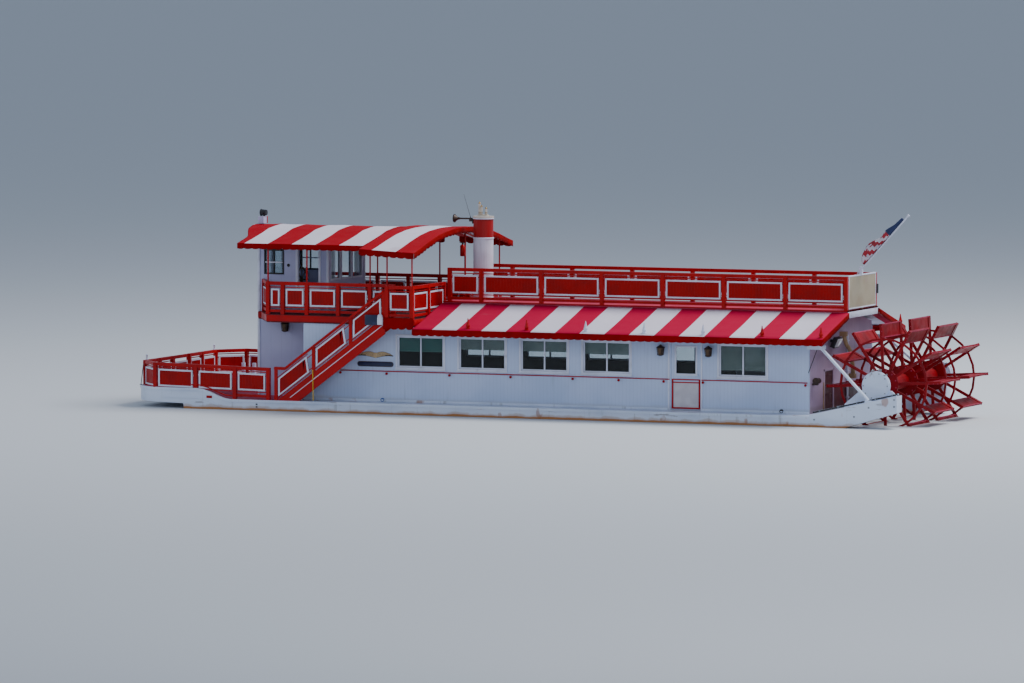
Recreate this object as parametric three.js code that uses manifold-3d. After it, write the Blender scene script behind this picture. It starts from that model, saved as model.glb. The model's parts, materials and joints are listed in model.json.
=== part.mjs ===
// Sternwheel excursion boat, afloat on a shallow flat-bottomed hull.
// Millimetres. +X is the bow, +Y is port, +Z is up; the origin is under the middle of the flat bottom.
import * as THREE from 'three';
import { mergeVertices } from 'three/addons/utils/BufferGeometryUtils.js';
import Module from 'manifold-3d';

const wasm = await Module();
wasm.setup();

// Clearance that two pieces which touch keep between their faces.
const GAP = 0.3;

// Heights above the flat bottom.
const DRAFT = 750;
const DECK = DRAFT + 280;
const BOW_DECK = DRAFT + 550;
const HOUSE_TOP = DRAFT + 2330;
const FORE_DECK = DRAFT + 2540;
const ROOF_TOP = HOUSE_TOP + 60;
const AFT_DECK = DRAFT + 2930;
const PILOTHOUSE_TOP = DRAFT + 4400;
const ROOF_SKIN = 40;

// Hull, seen from the side and from above.
const HULL_HALF = 3100;
const BOW_TIP = 11320;
const BOW_CORNER_RADIUS = 1000;
const STEM = 9720;
const SHEER_START = 8350;
const SHEER_END = 9300;
const TRANSOM = -8100;
const SHELF = DRAFT - 120;
const BILGE = 130;

// Deckhouse, from the stern bulkhead to the front wall.
const WALL = 60;
const CABIN_HALF = 2450;
const CABIN_FRONT = 6490;
const CABIN_AFT = -7870;
const HOUSE_HALF = 1250;
const HOUSE_FRONT = 8330;
const PILOTHOUSE_AFT = 6290;

// Upper decks.
const LANDING_AFT = 3040;
const LANDING_FRONT = 3860;
const LANDING_HALF = 3130;
const FORE_DECK_HALF = 2480;
const FORE_DECK_CORNER = 7530;
const AFT_DECK_HALF = 1160;
const AFT_DECK_FRONT = 2990;
const AFT_DECK_END = -8460;

// Side windows: all of one size, on one pitch, and the last one abaft the door.
const WINDOW = { width: 1330, sill: DRAFT + 1215, head: DRAFT + 2050 };
const WINDOW_CENTRES = [3105, 1337, -431, -2199, -6025];
const SIDE_DOOR = { fore: -4020, aft: -4850, head: DECK + 1800 };

// Paddle wheel: two sections on one shaft.
const AXLE = { x: -9735, z: DRAFT + 1080 };
const WHEEL = { tip: 1578, ring: 1185, spokes: 12, phase: 3, outer: 1900, inner: 370, board: 375 };
const SHAFT_RADIUS = 110;
const JOURNAL_RADIUS = 70;

// Rudders under the stern shelf.
const RUDDER = { x: -7450, y: 1200, fore: 290, aft: 790, low: 80, high: SHELF - 35, stock: 45 };

// Canvas: awnings along both sides, and the arched canopies over the forward deck.
const AWNING = { inner: 1175, outer: 3255, high: DRAFT + 2875, low: DRAFT + 2295, valance: 180, cloth: 22 };
const AWNING_FRONT = 3025;
const AWNING_END = -8520;
const CANOPY_JOIN = 4450;
const CANOPY_FORE = {
  aft: CANOPY_JOIN + 5, front: 8960, half: 2500, ridge: DRAFT + 4835, eaveFront: DRAFT + 4430, eaveAft: DRAFT + 4430,
  // share of the half width out from the ridge, share of the drop below it
  profile: [[0, 0], [0.13, 0.05], [0.35, 0.19], [0.53, 0.45], [0.76, 0.73], [1, 1]],
  // out from the centreline, front edge x
  nose: [[0, 8960], [570, 8840], [940, 8765], [1290, 8617], [1690, 8440], [2500, 8395]],
};
const CANOPY_AFT = {
  aft: 2865, front: CANOPY_JOIN - 5, half: 3500, ridge: DRAFT + 4850, eaveFront: DRAFT + 4400, eaveAft: DRAFT + 4320,
  profile: [[0, 0], [0.14, 0.01], [0.34, 0.1], [0.53, 0.28], [0.73, 0.57], [0.886, 0.83], [1, 1]],
};
const VALANCE = 150;

// Stack and what stands round it.
const STACK = { x: 2305, radius: 270, top: DRAFT + 5110 };

const paint = (color, roughness = 0.5, metalness = 0) =>
  new THREE.MeshStandardMaterial({ color, roughness, metalness });
const FINISH = {
  hull: paint(0xe6e8ec, 0.45),
  white: paint(0xdfe3ea, 0.5),
  blush: paint(0xd8c3cb, 0.55),
  red: paint(0xa80f12, 0.4),
  canvas: paint(0xb3202c, 0.85),
  deck: paint(0x8d4a46, 0.7),
  tan: paint(0xb59a77, 0.6),
  beige: paint(0xcfc4a6, 0.6),
  dark: paint(0x26262a, 0.5, 0.3),
  steel: paint(0x8b9096, 0.4, 0.7),
  brass: paint(0xa8823a, 0.35, 0.8),
};

// Solids. A profile is a list of [a, b] points, in order round the outline.
function solid(geometry) {
  geometry.deleteAttribute('normal');
  geometry.deleteAttribute('uv');
  const merged = mergeVertices(geometry, 1e-3);
  return new wasm.Manifold(new wasm.Mesh({
    numProp: 3,
    vertProperties: new Float32Array(merged.attributes.position.array),
    triVerts: new Uint32Array(merged.index.array),
  }));
}

function box(x0, x1, y0, y1, z0, z1) {
  const geometry = new THREE.BoxGeometry(x1 - x0, y1 - y0, z1 - z0);
  geometry.translate((x0 + x1) / 2, (y0 + y1) / 2, (z0 + z1) / 2);
  return solid(geometry);
}

function extruded(profile, depth, steps = 1) {
  const shape = new THREE.Shape(profile.map(([a, b]) => new THREE.Vector2(a, b)));
  return new THREE.ExtrudeGeometry(shape, { depth, bevelEnabled: false, steps });
}

// The profile's axes are x, z; it runs from y0 to y1.
function sideProfile(profile, y0, y1) {
  return solid(extruded(profile, y1 - y0).rotateX(Math.PI / 2).translate(0, y1, 0));
}

// The profile's axes are x, y; it runs from z0 to z1.
function planProfile(profile, z0, z1) {
  return solid(extruded(profile, z1 - z0).translate(0, 0, z0));
}

// The profile's axes are y, z; it runs from x0 to x1.
function sectionProfile(profile, x0, x1) {
  const turn = new THREE.Matrix4().set(0, 0, 1, x0, 1, 0, 0, 0, 0, 1, 0, 0, 0, 0, 0, 1);
  return solid(extruded(profile, x1 - x0).applyMatrix4(turn));
}

const join = (list) => list.reduce((sum, next) => sum.add(next));

// A round bar from point a to point b.
function rod(a, b, radius, sides = 8, endRadius = radius) {
  const from = new THREE.Vector3(...a);
  const along = new THREE.Vector3(...b).sub(from);
  const geometry = new THREE.CylinderGeometry(endRadius, radius, along.length(), sides);
  const turn = new THREE.Quaternion().setFromUnitVectors(new THREE.Vector3(0, 1, 0), along.clone().normalize());
  geometry.applyQuaternion(turn).translate(...from.addScaledVector(along, 0.5).toArray());
  return solid(geometry);
}

// A bar in the plane of the wheel, from radius r0 to r1 at an angle from dead aft, upwards.
function wheelBar(angle, r0, r1, width, y0, y1) {
  const geometry = new THREE.BoxGeometry(r1 - r0, y1 - y0, width);
  geometry.translate(-(r0 + r1) / 2, (y0 + y1) / 2, 0).rotateY(angle);
  return solid(geometry.translate(AXLE.x, 0, AXLE.z));
}

// A disc or tube round the wheel's axis, from y0 to y1.
function wheelRound(inner, outer, y0, y1, sides) {
  const profile = inner > 0
    ? [[inner, y0], [outer, y0], [outer, y1], [inner, y1], [inner, y0]]
    : [[0, y0], [outer, y0], [outer, y1], [0, y1]];
  const points = profile.map(([r, y]) => new THREE.Vector2(r, y));
  return solid(new THREE.LatheGeometry(points, sides).translate(AXLE.x, 0, AXLE.z));
}

// The same solid on the other side of the centreline.
function mirrored(port) {
  const { vertProperties, triVerts } = port.getMesh();
  const vertices = vertProperties.map((value, k) => (k % 3 === 1 ? -value : value));
  const triangles = triVerts.slice();
  for (let k = 0; k < triangles.length; k += 3) {
    [triangles[k], triangles[k + 1]] = [triangles[k + 1], triangles[k]];
  }
  return new wasm.Manifold(new wasm.Mesh({ numProp: 3, vertProperties: vertices, triVerts: triangles }));
}

const boat = new THREE.Group();

function add(name, shape, material) {
  const { vertProperties, triVerts } = shape.getMesh();
  const geometry = new THREE.BufferGeometry();
  geometry.setAttribute('position', new THREE.BufferAttribute(new Float32Array(vertProperties), 3));
  geometry.setIndex(new THREE.BufferAttribute(new Uint32Array(triVerts), 1));
  const mesh = new THREE.Mesh(geometry, material.clone());
  mesh.name = name;
  boat.add(mesh);
}

function addPair(name, port, material) {
  add(`${name}_port`, port, material);
  add(`${name}_starboard`, mirrored(port), material);
}

// Hull: the side profile carried across, cut to the bow's plan and to the bilge.
function deckHeight(x) {
  const t = Math.min(Math.max((x - SHEER_START) / (SHEER_END - SHEER_START), 0), 1);
  return DECK + (BOW_DECK - DECK) * t * t * (3 - 2 * t);
}

function bowPlan() {
  const shoulder = BOW_TIP - BOW_CORNER_RADIUS;
  const points = [[shoulder, HULL_HALF]];
  for (let k = 1; k <= 6; k += 1) {
    const a = (k * Math.PI) / 12;
    points.push([shoulder + BOW_CORNER_RADIUS * Math.sin(a), HULL_HALF - BOW_CORNER_RADIUS * (1 - Math.cos(a))]);
  }
  return points;
}

// Mooring bitts: a foot and two posts on the bow deck.
const BITTS = { x: 10150, y: 2250, half: 300, post: 55, height: 330 };

function buildBitts(y) {
  const { x, half, post, height } = BITTS;
  const posts = [-160, 160].map((dx) => rod([x + dx, y, BOW_DECK - 5], [x + dx, y, BOW_DECK + height], post, 10));
  return join([box(x - half, x + half, y - 100, y + 100, BOW_DECK - 5, BOW_DECK + 30), ...posts]);
}

function buildHull() {
  const top = [];
  for (let k = 0; k <= 6; k += 1) {
    const x = SHEER_START + (k * (SHEER_END - SHEER_START)) / 6;
    top.push([x, deckHeight(x)]);
  }
  const profile = [
    [TRANSOM, SHELF], [-7000, SHELF], [-6300, 0], [7750, 0], [9500, DRAFT - 110], [STEM - 20, DRAFT],
    [STEM, DRAFT + 140], [BOW_TIP, DRAFT + 180], [BOW_TIP, BOW_DECK], ...top.reverse(), [TRANSOM, DECK],
  ];
  const body = sideProfile(profile, -HULL_HALF, HULL_HALF);
  const port = [[TRANSOM - 10, HULL_HALF], ...bowPlan()];
  const plan = [...port, ...port.map(([x, y]) => [x, -y]).reverse()];
  const planBlock = planProfile(plan, -10, BOW_DECK + 10);
  const bilge = [
    [-HULL_HALF + BILGE, -1], [HULL_HALF - BILGE, -1], [HULL_HALF, BILGE], [HULL_HALF, BOW_DECK + 10],
    [-HULL_HALF, BOW_DECK + 10], [-HULL_HALF, BILGE],
  ];
  const stocks = [RUDDER.y, -RUDDER.y].map((y) =>
    rod([RUDDER.x, y, SHELF - 1], [RUDDER.x, y, SHELF + 200], RUDDER.stock + 8, 16));
  const shell = body.intersect(planBlock).intersect(sectionProfile(bilge, TRANSOM - 20, BOW_TIP + 20));
  return stocks.reduce((sum, hole) => sum.subtract(hole), join([shell, buildBitts(BITTS.y), buildBitts(-BITTS.y)]));
}

add('hull', buildHull(), FINISH.hull);

// Rudders: a balanced blade on a stock that turns in the stern shelf.
function buildRudder() {
  const blade = [
    [RUDDER.fore, RUDDER.low + 120], [RUDDER.fore, RUDDER.high], [-RUDDER.aft, RUDDER.high],
    [-RUDDER.aft, RUDDER.low + 60], [-RUDDER.aft + 80, RUDDER.low], [RUDDER.fore - 120, RUDDER.low],
  ].map(([dx, z]) => [RUDDER.x + dx, z]);
  return sideProfile(blade, RUDDER.y - 22, RUDDER.y + 22)
    .add(rod([RUDDER.x, RUDDER.y, RUDDER.low + 100], [RUDDER.x, RUDDER.y, SHELF + 190], RUDDER.stock, 16));
}

addPair('rudder', buildRudder(), FINISH.dark);

// Beams that carry the wheel, each with the strut that braces it to the house. The port beam is the longer one.
const BEAM_END = { port: -10520, starboard: -9850 };

function beamTop(x) {
  return 1070 + (TRANSOM - x) * 0.2285;
}

function buildWheelBeam(end) {
  const upper = beamTop;
  const lower = (x) => 750 + (-9080 - x) * 0.3025;
  const beam = sideProfile([
    [TRANSOM - GAP, 460], [TRANSOM - GAP, 1070], [end, upper(end)], [end, lower(end)], [-9080, 750],
  ], 2700, HULL_HALF);
  const strut = rod([-8230, 2560, 2790], [-9700, 2900, 1440], 42, 8);
  const foot = box(-9780, -9600, 2810, 2990, 1400, 1475);
  const head = box(-8290, CABIN_AFT - GAP, 2330, 2620, 2740, 2840);
  return join([beam, strut, foot, head]);
}

add('wheel_beam_port', buildWheelBeam(BEAM_END.port), FINISH.white);
add('wheel_beam_starboard', mirrored(buildWheelBeam(BEAM_END.starboard)), FINISH.white);

// Drive housings: a round case before a bracket, on a shelf off the inside of each beam, with the shaft's bearing in
// its hub.
function buildDriveHousing(end) {
  const drum = wheelRound(0, 367, 2385, 2550, 32);
  const rim = wheelRound(0, 385, 2480, 2510, 32);
  const hub = wheelRound(0, 170, 2210, 2395, 20);
  const bracket = sideProfile([
    [-8830, 1160], [-8850, 1330], [-9290, 1700], [-9735, 1760], [end + 160, 1700], [end, 1560], [end, 1250],
  ], 2390, 2450);
  const shelf = sideProfile([
    [-8840, 1165], [-8840, beamTop(-8840) - 15], [end + 10, beamTop(end + 10) - 15], [end + 10, 1255],
  ], 2440, 2700 - GAP);
  const bearing = wheelRound(0, JOURNAL_RADIUS + 8, 2200, 2445, 16);
  return join([drum, rim, hub, bracket, shelf]).subtract(bearing);
}

add('drive_housing_port', buildDriveHousing(-10305), FINISH.white);
add('drive_housing_starboard', mirrored(buildDriveHousing(-9960)), FINISH.white);

// Paddle wheel.
function buildWheelShaft() {
  return wheelRound(0, SHAFT_RADIUS, -2150, 2150, 16).add(wheelRound(0, JOURNAL_RADIUS, -2440, 2440, 16));
}

function buildWheelSection() {
  const planes = [WHEEL.inner, WHEEL.outer];
  const step = (2 * Math.PI) / WHEEL.spokes;
  const phase = THREE.MathUtils.degToRad(WHEEL.phase);
  const parts = [wheelRound(0, 200, WHEEL.inner - 60, WHEEL.outer + 60, 16)];
  for (const y of planes) {
    parts.push(wheelRound(0, 420, y - 32, y + 32, 12));
    parts.push(wheelRound(WHEEL.ring - 28, WHEEL.ring + 28, y - 18, y + 18, 24));
    for (let k = 0; k < WHEEL.spokes; k += 1) {
      parts.push(wheelBar(phase + k * step, 150, WHEEL.tip, 76, y - 22, y + 22));
    }
  }
  for (let k = 0; k < WHEEL.spokes; k += 1) {
    parts.push(wheelBar(phase + k * step, WHEEL.tip - WHEEL.board, WHEEL.tip - 2, 36, WHEEL.inner, WHEEL.outer));
  }
  return join(parts).subtract(wheelRound(0, SHAFT_RADIUS + 0.5, WHEEL.inner - 100, WHEEL.outer + 100, 16));
}

add('wheel_shaft', buildWheelShaft(), FINISH.red);
addPair('wheel_section', buildWheelSection(), FINISH.red);

// Deckhouse. Walls stand on the deck and carry the decks above.
function wallWithHoles(wall, holes) {
  return holes.reduce((sum, hole) => sum.subtract(hole), wall);
}

function buildCabinSide() {
  const wall = box(CABIN_AFT, CABIN_FRONT, CABIN_HALF - WALL, CABIN_HALF, DECK + GAP, HOUSE_TOP);
  const windows = WINDOW_CENTRES.map((x) =>
    box(x - WINDOW.width / 2, x + WINDOW.width / 2, 0, 3000, WINDOW.sill, WINDOW.head));
  const door = box(SIDE_DOOR.aft, SIDE_DOOR.fore, 0, 3000, DECK - 10, SIDE_DOOR.head);
  return wallWithHoles(wall, [...windows, door]);
}

addPair('cabin_side', buildCabinSide(), FINISH.white);

const INSIDE = CABIN_HALF - WALL - GAP;
const DECK_PLATE = 60;
const BULKHEAD_DOOR = { low: 640, high: 1270, sill: DECK + 60, head: DECK + 1050 };

function buildCabinFront() {
  const wall = box(CABIN_FRONT - WALL, CABIN_FRONT, -INSIDE, INSIDE, DECK + GAP, HOUSE_TOP);
  return wallWithHoles(wall, [box(CABIN_FRONT - 100, CABIN_FRONT + 10, -450, 450, DECK - 10, DECK + 1850)]);
}

function buildCabinAft() {
  const port = [
    [INSIDE, DECK + GAP], [INSIDE, HOUSE_TOP + 130], [AFT_DECK_HALF - 10, AFT_DECK - 205],
    [AFT_DECK_HALF - 10, AFT_DECK - DECK_PLATE - GAP],
  ];
  const gable = sectionProfile([...port, ...port.map(([y, z]) => [-y, z]).reverse()], CABIN_AFT, CABIN_AFT + WALL);
  const door = BULKHEAD_DOOR;
  return wallWithHoles(gable, [box(CABIN_AFT - 10, CABIN_AFT + 100, door.low, door.high, door.sill, door.head)]);
}

add('cabin_front', buildCabinFront(), FINISH.white);
add('cabin_aft', buildCabinAft(), FINISH.blush);

// A door leaf fills its opening with a running gap of 6 mm all round, and has a window cut in its upper half.
const RUNNING = 6;

function buildSideDoor() {
  const leaf = box(SIDE_DOOR.aft + RUNNING, SIDE_DOOR.fore - RUNNING, CABIN_HALF - 48, CABIN_HALF - 4,
    DECK + 12, SIDE_DOOR.head - RUNNING);
  const pane = box(SIDE_DOOR.aft + 130, SIDE_DOOR.fore - 130, 0, 3000, DECK + 960, SIDE_DOOR.head - 110);
  const knob = rod([SIDE_DOOR.aft + 75, CABIN_HALF - 20, DECK + 940], [SIDE_DOOR.aft + 75, CABIN_HALF + 40, DECK + 940], 24, 8);
  return leaf.subtract(pane).add(knob);
}

addPair('cabin_door', buildSideDoor(), FINISH.white);

function buildSternHatch() {
  const door = BULKHEAD_DOOR;
  return box(CABIN_AFT + 8, CABIN_AFT + 50, door.low + RUNNING, door.high - RUNNING, door.sill + RUNNING, door.head - RUNNING);
}

add('stern_hatch', buildSternHatch(), FINISH.tan);

// Fore house under the pilothouse, with the door to the bow deck.
const HOUSE_INSIDE = HOUSE_HALF - WALL - GAP;
const FRONT_DOOR = { half: 400, head: DECK + 1850 };

addPair('fore_house_side', box(CABIN_FRONT + GAP, HOUSE_FRONT, HOUSE_HALF - WALL, HOUSE_HALF, DECK + GAP, HOUSE_TOP), FINISH.blush);
add('fore_house_front', wallWithHoles(
  box(HOUSE_FRONT - WALL, HOUSE_FRONT, -HOUSE_INSIDE, HOUSE_INSIDE, DECK + GAP, HOUSE_TOP),
  [box(HOUSE_FRONT - 100, HOUSE_FRONT + 10, -FRONT_DOOR.half, FRONT_DOOR.half, DECK - 10, FRONT_DOOR.head)],
), FINISH.white);

function buildFrontDoor() {
  const leaf = box(HOUSE_FRONT - 48, HOUSE_FRONT - 4, -FRONT_DOOR.half + RUNNING, FRONT_DOOR.half - RUNNING,
    DECK + 12, FRONT_DOOR.head - RUNNING);
  const pane = box(HOUSE_FRONT - 100, HOUSE_FRONT + 10, -FRONT_DOOR.half + 130, FRONT_DOOR.half - 130,
    DECK + 960, FRONT_DOOR.head - 130);
  return leaf.subtract(pane);
}

add('fore_house_door', buildFrontDoor(), FINISH.white);

// Upper decks: the fore deck with a landing on each side, the roof abaft it and the raised aft deck.
function buildForeDeck() {
  const port = [
    [LANDING_AFT, LANDING_HALF], [LANDING_FRONT, LANDING_HALF], [LANDING_FRONT, FORE_DECK_HALF],
    [FORE_DECK_CORNER, FORE_DECK_HALF], [FORE_DECK_CORNER + 700, HOUSE_HALF], [HOUSE_FRONT, HOUSE_HALF],
  ];
  return planProfile([...port, ...port.map(([x, y]) => [x, -y]).reverse()], HOUSE_TOP + GAP, FORE_DECK);
}

// The aft deck is a plate with a fascia across its after end.
const SKIRT = { deep: 200, thick: 50 };

function buildAftDeck() {
  const plate = box(AFT_DECK_END, AFT_DECK_FRONT, -AFT_DECK_HALF, AFT_DECK_HALF, AFT_DECK - DECK_PLATE, AFT_DECK);
  return plate.add(box(AFT_DECK_END, AFT_DECK_END + SKIRT.thick, -AFT_DECK_HALF, AFT_DECK_HALF, AFT_DECK - SKIRT.deep, AFT_DECK - 1));
}

add('fore_deck', buildForeDeck(), FINISH.deck);
add('cabin_roof', box(CABIN_AFT + WALL + GAP, LANDING_AFT - GAP, -CABIN_HALF, CABIN_HALF, HOUSE_TOP + GAP, ROOF_TOP), FINISH.white);
add('aft_deck', buildAftDeck(), FINISH.deck);

// Pilothouse: windows all round and a half-height door on each side.
const PILOT_DOOR = { aft: 6560, fore: 7170, head: FORE_DECK + 1720, leaf: FORE_DECK + 720 };
const PILOT_WINDOW = { aft: 7590, fore: 8145, sill: DRAFT + 3510, head: DRAFT + 4190 };
const END_PANES = { centres: [-740, 0, 740], half: 320, sill: DRAFT + 3420 };

function buildPilothouseSide() {
  const wall = box(PILOTHOUSE_AFT, HOUSE_FRONT, HOUSE_HALF - WALL, HOUSE_HALF, FORE_DECK + GAP, PILOTHOUSE_TOP);
  return wallWithHoles(wall, [
    box(PILOT_WINDOW.aft, PILOT_WINDOW.fore, 0, 2000, PILOT_WINDOW.sill, PILOT_WINDOW.head),
    box(PILOT_DOOR.aft, PILOT_DOOR.fore, 0, 2000, FORE_DECK - 10, PILOT_DOOR.head),
  ]);
}

function buildPilothouseEnd(x) {
  const { centres, half, sill } = END_PANES;
  const wall = box(x, x + WALL, -HOUSE_INSIDE, HOUSE_INSIDE, FORE_DECK + GAP, PILOTHOUSE_TOP);
  return wallWithHoles(wall, centres.map((y) =>
    box(x - 10, x + WALL + 10, y - half, y + half, sill, PILOT_WINDOW.head)));
}

// The roof runs on forward to a blunt point, which carries the searchlight's post.
function buildPilothouseRoof() {
  const half = HOUSE_HALF + 40;
  const aft = PILOTHOUSE_AFT - 40;
  const plan = [[aft, -half], [8560, -half], [8880, -200], [8880, 200], [8560, half], [aft, half]];
  return planProfile(plan, PILOTHOUSE_TOP + GAP, PILOTHOUSE_TOP + ROOF_SKIN);
}

addPair('pilothouse_side', buildPilothouseSide(), FINISH.blush);
add('pilothouse_front', buildPilothouseEnd(HOUSE_FRONT - WALL), FINISH.white);
add('pilothouse_aft', buildPilothouseEnd(PILOTHOUSE_AFT), FINISH.blush);
addPair('pilothouse_door', box(PILOT_DOOR.aft + RUNNING, PILOT_DOOR.fore - RUNNING, HOUSE_HALF - 48, HOUSE_HALF - 4,
  FORE_DECK + 12, PILOT_DOOR.leaf), FINISH.white);
add('pilothouse_roof', buildPilothouseRoof(), FINISH.white);

// Canvas over the forward deck. Each canopy has its own arched profile, and its eave may slope from end to end.
const CLOTH = 20;
const BOW_TUBE = 40;
const TUBE_GAP = 4;
const CANOPY_STEP = 800;

function dropShare(profile, out) {
  const k = Math.max(profile.findIndex(([share]) => share >= out), 1);
  const [o0, d0] = profile[k - 1];
  const [o1, d1] = profile[k];
  return d0 + ((d1 - d0) * (out - o0)) / (o1 - o0);
}

function eaveAt({ aft, front, eaveFront, eaveAft }, x) {
  return eaveFront + ((eaveAft - eaveFront) * (front - x)) / (front - aft);
}

function canopyTop(canopy, x, y) {
  const { ridge, half, profile } = canopy;
  return ridge - (ridge - eaveAt(canopy, x)) * dropShare(profile, Math.abs(y) / half);
}

// A band under the canopy's top face from x0 to x1, between two depths below it.
function canopyBand(canopy, x0, x1, upper, lower) {
  const out = canopy.profile.map(([share]) => share * canopy.half);
  const across = [...out.slice(1).map((y) => -y).reverse(), ...out];
  const line = across.map((y) => [y, canopyTop(canopy, x1, y)]);
  const outline = [...line.map(([y, z]) => [y, z - upper]), ...line.map(([y, z]) => [y, z - lower]).reverse()];
  const turn = new THREE.Matrix4().set(0, 0, 1, x0, 1, 0, 0, 0, 0, 1, 0, 0, 0, 0, 0, 1);
  const geometry = extruded(outline, x1 - x0, Math.ceil((x1 - x0) / CANOPY_STEP)).applyMatrix4(turn);
  const points = geometry.attributes.position;
  for (let k = 0; k < points.count; k += 1) {
    const [x, y, z] = [points.getX(k), points.getY(k), points.getZ(k)];
    points.setZ(k, z + canopyTop(canopy, x, y) - canopyTop(canopy, x1, y));
  }
  return solid(geometry);
}

// The edge that hangs along an eave, on the side given by its sign.
function canopyEdge(canopy, side) {
  const { aft, front, half } = canopy;
  const [y0, y1] = side > 0 ? [half - CLOTH, half] : [-half, -half + CLOTH];
  const [zAft, zFront] = [aft, front].map((x) => eaveAt(canopy, x) - 4);
  return sideProfile([[aft, zAft - VALANCE], [front, zFront - VALANCE], [front, zFront], [aft, zAft]], y0, y1);
}

const LIGHT_POST = { x: 8745, radius: 34 };

function buildForeCanopy() {
  const canopy = CANOPY_FORE;
  const port = canopy.nose.map(([y, x]) => [x, y]);
  const plan = [[canopy.aft, -canopy.half], ...port.slice(1).map(([x, y]) => [x, -y]).reverse(), ...port, [canopy.aft, canopy.half]];
  const cloth = join([canopyBand(canopy, canopy.aft, canopy.front, 0, CLOTH), canopyEdge(canopy, 1), canopyEdge(canopy, -1)]);
  return cloth.intersect(planProfile(plan, canopy.eaveAft - 400, canopy.ridge + 100))
    .subtract(rod([LIGHT_POST.x, 0, PILOTHOUSE_TOP], [LIGHT_POST.x, 0, canopy.ridge + 100], LIGHT_POST.radius + 12, 12));
}

function buildAftCanopy() {
  const canopy = CANOPY_AFT;
  return join([
    canopyBand(canopy, canopy.aft, canopy.front, 0, CLOTH), canopyEdge(canopy, 1), canopyEdge(canopy, -1),
    canopyBand(canopy, canopy.aft, canopy.aft + CLOTH, 0, VALANCE),
  ]);
}

add('canopy_fore', buildForeCanopy(), FINISH.canvas);
add('canopy_aft', buildAftCanopy(), FINISH.canvas);

// Canopy frames: arched bows of tube under the canvas, each on two posts, with three tubes along them.
const FORE_RAIL_TOP = FORE_DECK + 880;
const RAIL_LINE = FORE_DECK_HALF - 55;
const LANDING_RAIL_LINE = LANDING_HALF - 50;
const FRAMES = [
  {
    name: 'canopy_frame_fore',
    canopy: CANOPY_FORE,
    bows: [
      // station x, post out from the centreline, post foot
      [8270, HOUSE_HALF - 60, PILOTHOUSE_TOP + ROOF_SKIN],
      [FORE_DECK_CORNER, RAIL_LINE, FORE_RAIL_TOP],
      [6400, RAIL_LINE, FORE_RAIL_TOP],
      [4570, RAIL_LINE, FORE_RAIL_TOP],
    ],
  },
  {
    name: 'canopy_frame_aft',
    canopy: CANOPY_AFT,
    bows: [
      [LANDING_FRONT - 55, LANDING_RAIL_LINE, FORE_RAIL_TOP],
      [LANDING_AFT + 50, LANDING_RAIL_LINE, FORE_RAIL_TOP],
    ],
  },
];

function arch(canopy, x) {
  const half = BOW_TUBE / 2;
  const inside = canopy.half - CLOTH - 2;
  return canopyBand(canopy, x - half, x + half, CLOTH + TUBE_GAP, CLOTH + TUBE_GAP + BOW_TUBE)
    .intersect(box(x - half, x + half, -inside, inside, canopy.eaveAft - 400, canopy.ridge));
}

for (const { name, canopy, bows } of FRAMES) {
  const parts = [];
  for (const [x, out, foot] of bows) {
    parts.push(arch(canopy, x));
    for (const y of [out, -out]) {
      parts.push(rod([x, y, foot + GAP], [x, y, canopyTop(canopy, x, y) - CLOTH - BOW_TUBE / 2], 22, 8));
    }
  }
  const [front, aft] = [bows[0][0], bows[bows.length - 1][0]];
  const rail = bows[1][1];
  for (const y of [rail, 0, -rail]) {
    const [zAft, zFront] = [aft, front].map((x) => canopyTop(canopy, x, y) - CLOTH);
    parts.push(sideProfile([[aft, zAft - 42], [front, zFront - 42], [front, zFront - 12], [aft, zAft - 12]], y - 15, y + 15));
  }
  add(name, join(parts), FINISH.red);
}

// Awnings along the sides: a sloping cloth with a hanging edge, on a frame of rafters. The frame's knee wall
// stands on the roof and carries the edge of the aft deck.
function awningHeight(y) {
  return AWNING.high - ((y - AWNING.inner) / (AWNING.outer - AWNING.inner)) * (AWNING.high - AWNING.low);
}

function buildAwning() {
  const { inner, outer, high, low, cloth, valance } = AWNING;
  return sectionProfile([
    [inner, high], [inner, high - cloth], [outer - cloth, low - cloth], [outer - cloth, low - valance],
    [outer, low - valance], [outer, low],
  ], AWNING_END, AWNING_FRONT);
}

const RAFTER_PITCH = 1655;
const RAFTERS = [2990, ...Array.from({ length: 7 }, (_, k) => 1560 - k * RAFTER_PITCH)];

function buildAwningFrame() {
  const knee = { inner: 1105, outer: 1155 };
  const under = AWNING.cloth + 8;
  const inner = AWNING.inner + 5;
  const outer = AWNING.outer - AWNING.cloth - 3;
  const depth = 40;
  const at = (y) => awningHeight(y) - under;
  const parts = [
    box(AWNING_END + 10, AWNING_FRONT - 10, inner, inner + 40, at(inner + 40) - depth, at(inner + 40)),
    box(AWNING_END + 10, AWNING_FRONT - 10, outer - 40, outer, at(outer) - depth, at(outer)),
    box(CABIN_AFT + WALL + GAP, AFT_DECK_FRONT, knee.inner, knee.outer, ROOF_TOP + GAP, AFT_DECK - DECK_PLATE - GAP),
  ];
  for (const x of RAFTERS) {
    const aft = x - 40;
    const ledge = at(inner + 40);
    parts.push(box(aft, x, knee.outer - 5, inner + 5, ledge - depth + 2, ledge - 2));
    parts.push(sectionProfile([
      [inner, at(inner)], [inner, at(inner) - depth], [outer, at(outer) - depth], [outer, at(outer)],
    ], aft, x));
    if (x < AFT_DECK_FRONT && x > CABIN_AFT + 200) {
      parts.push(box(aft, x, CABIN_HALF - 70, CABIN_HALF - 20, ROOF_TOP + GAP, at(CABIN_HALF - 70) - depth + 5));
    }
  }
  return join(parts);
}

addPair('awning', buildAwning(), FINISH.canvas);
addPair('awning_frame', buildAwningFrame(), FINISH.red);

// Rails: posts, a hand rail, a foot rail and solid panels between the posts.
const POST = 100;
const RAIL = {
  hand: 90, handHalf: 40, plateHalf: 12, panelInset: 42,
  footLow: 168, footHigh: 98, footHalf: 20, batten: 24, battenHalf: 8, battenInset: 45,
};

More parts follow.
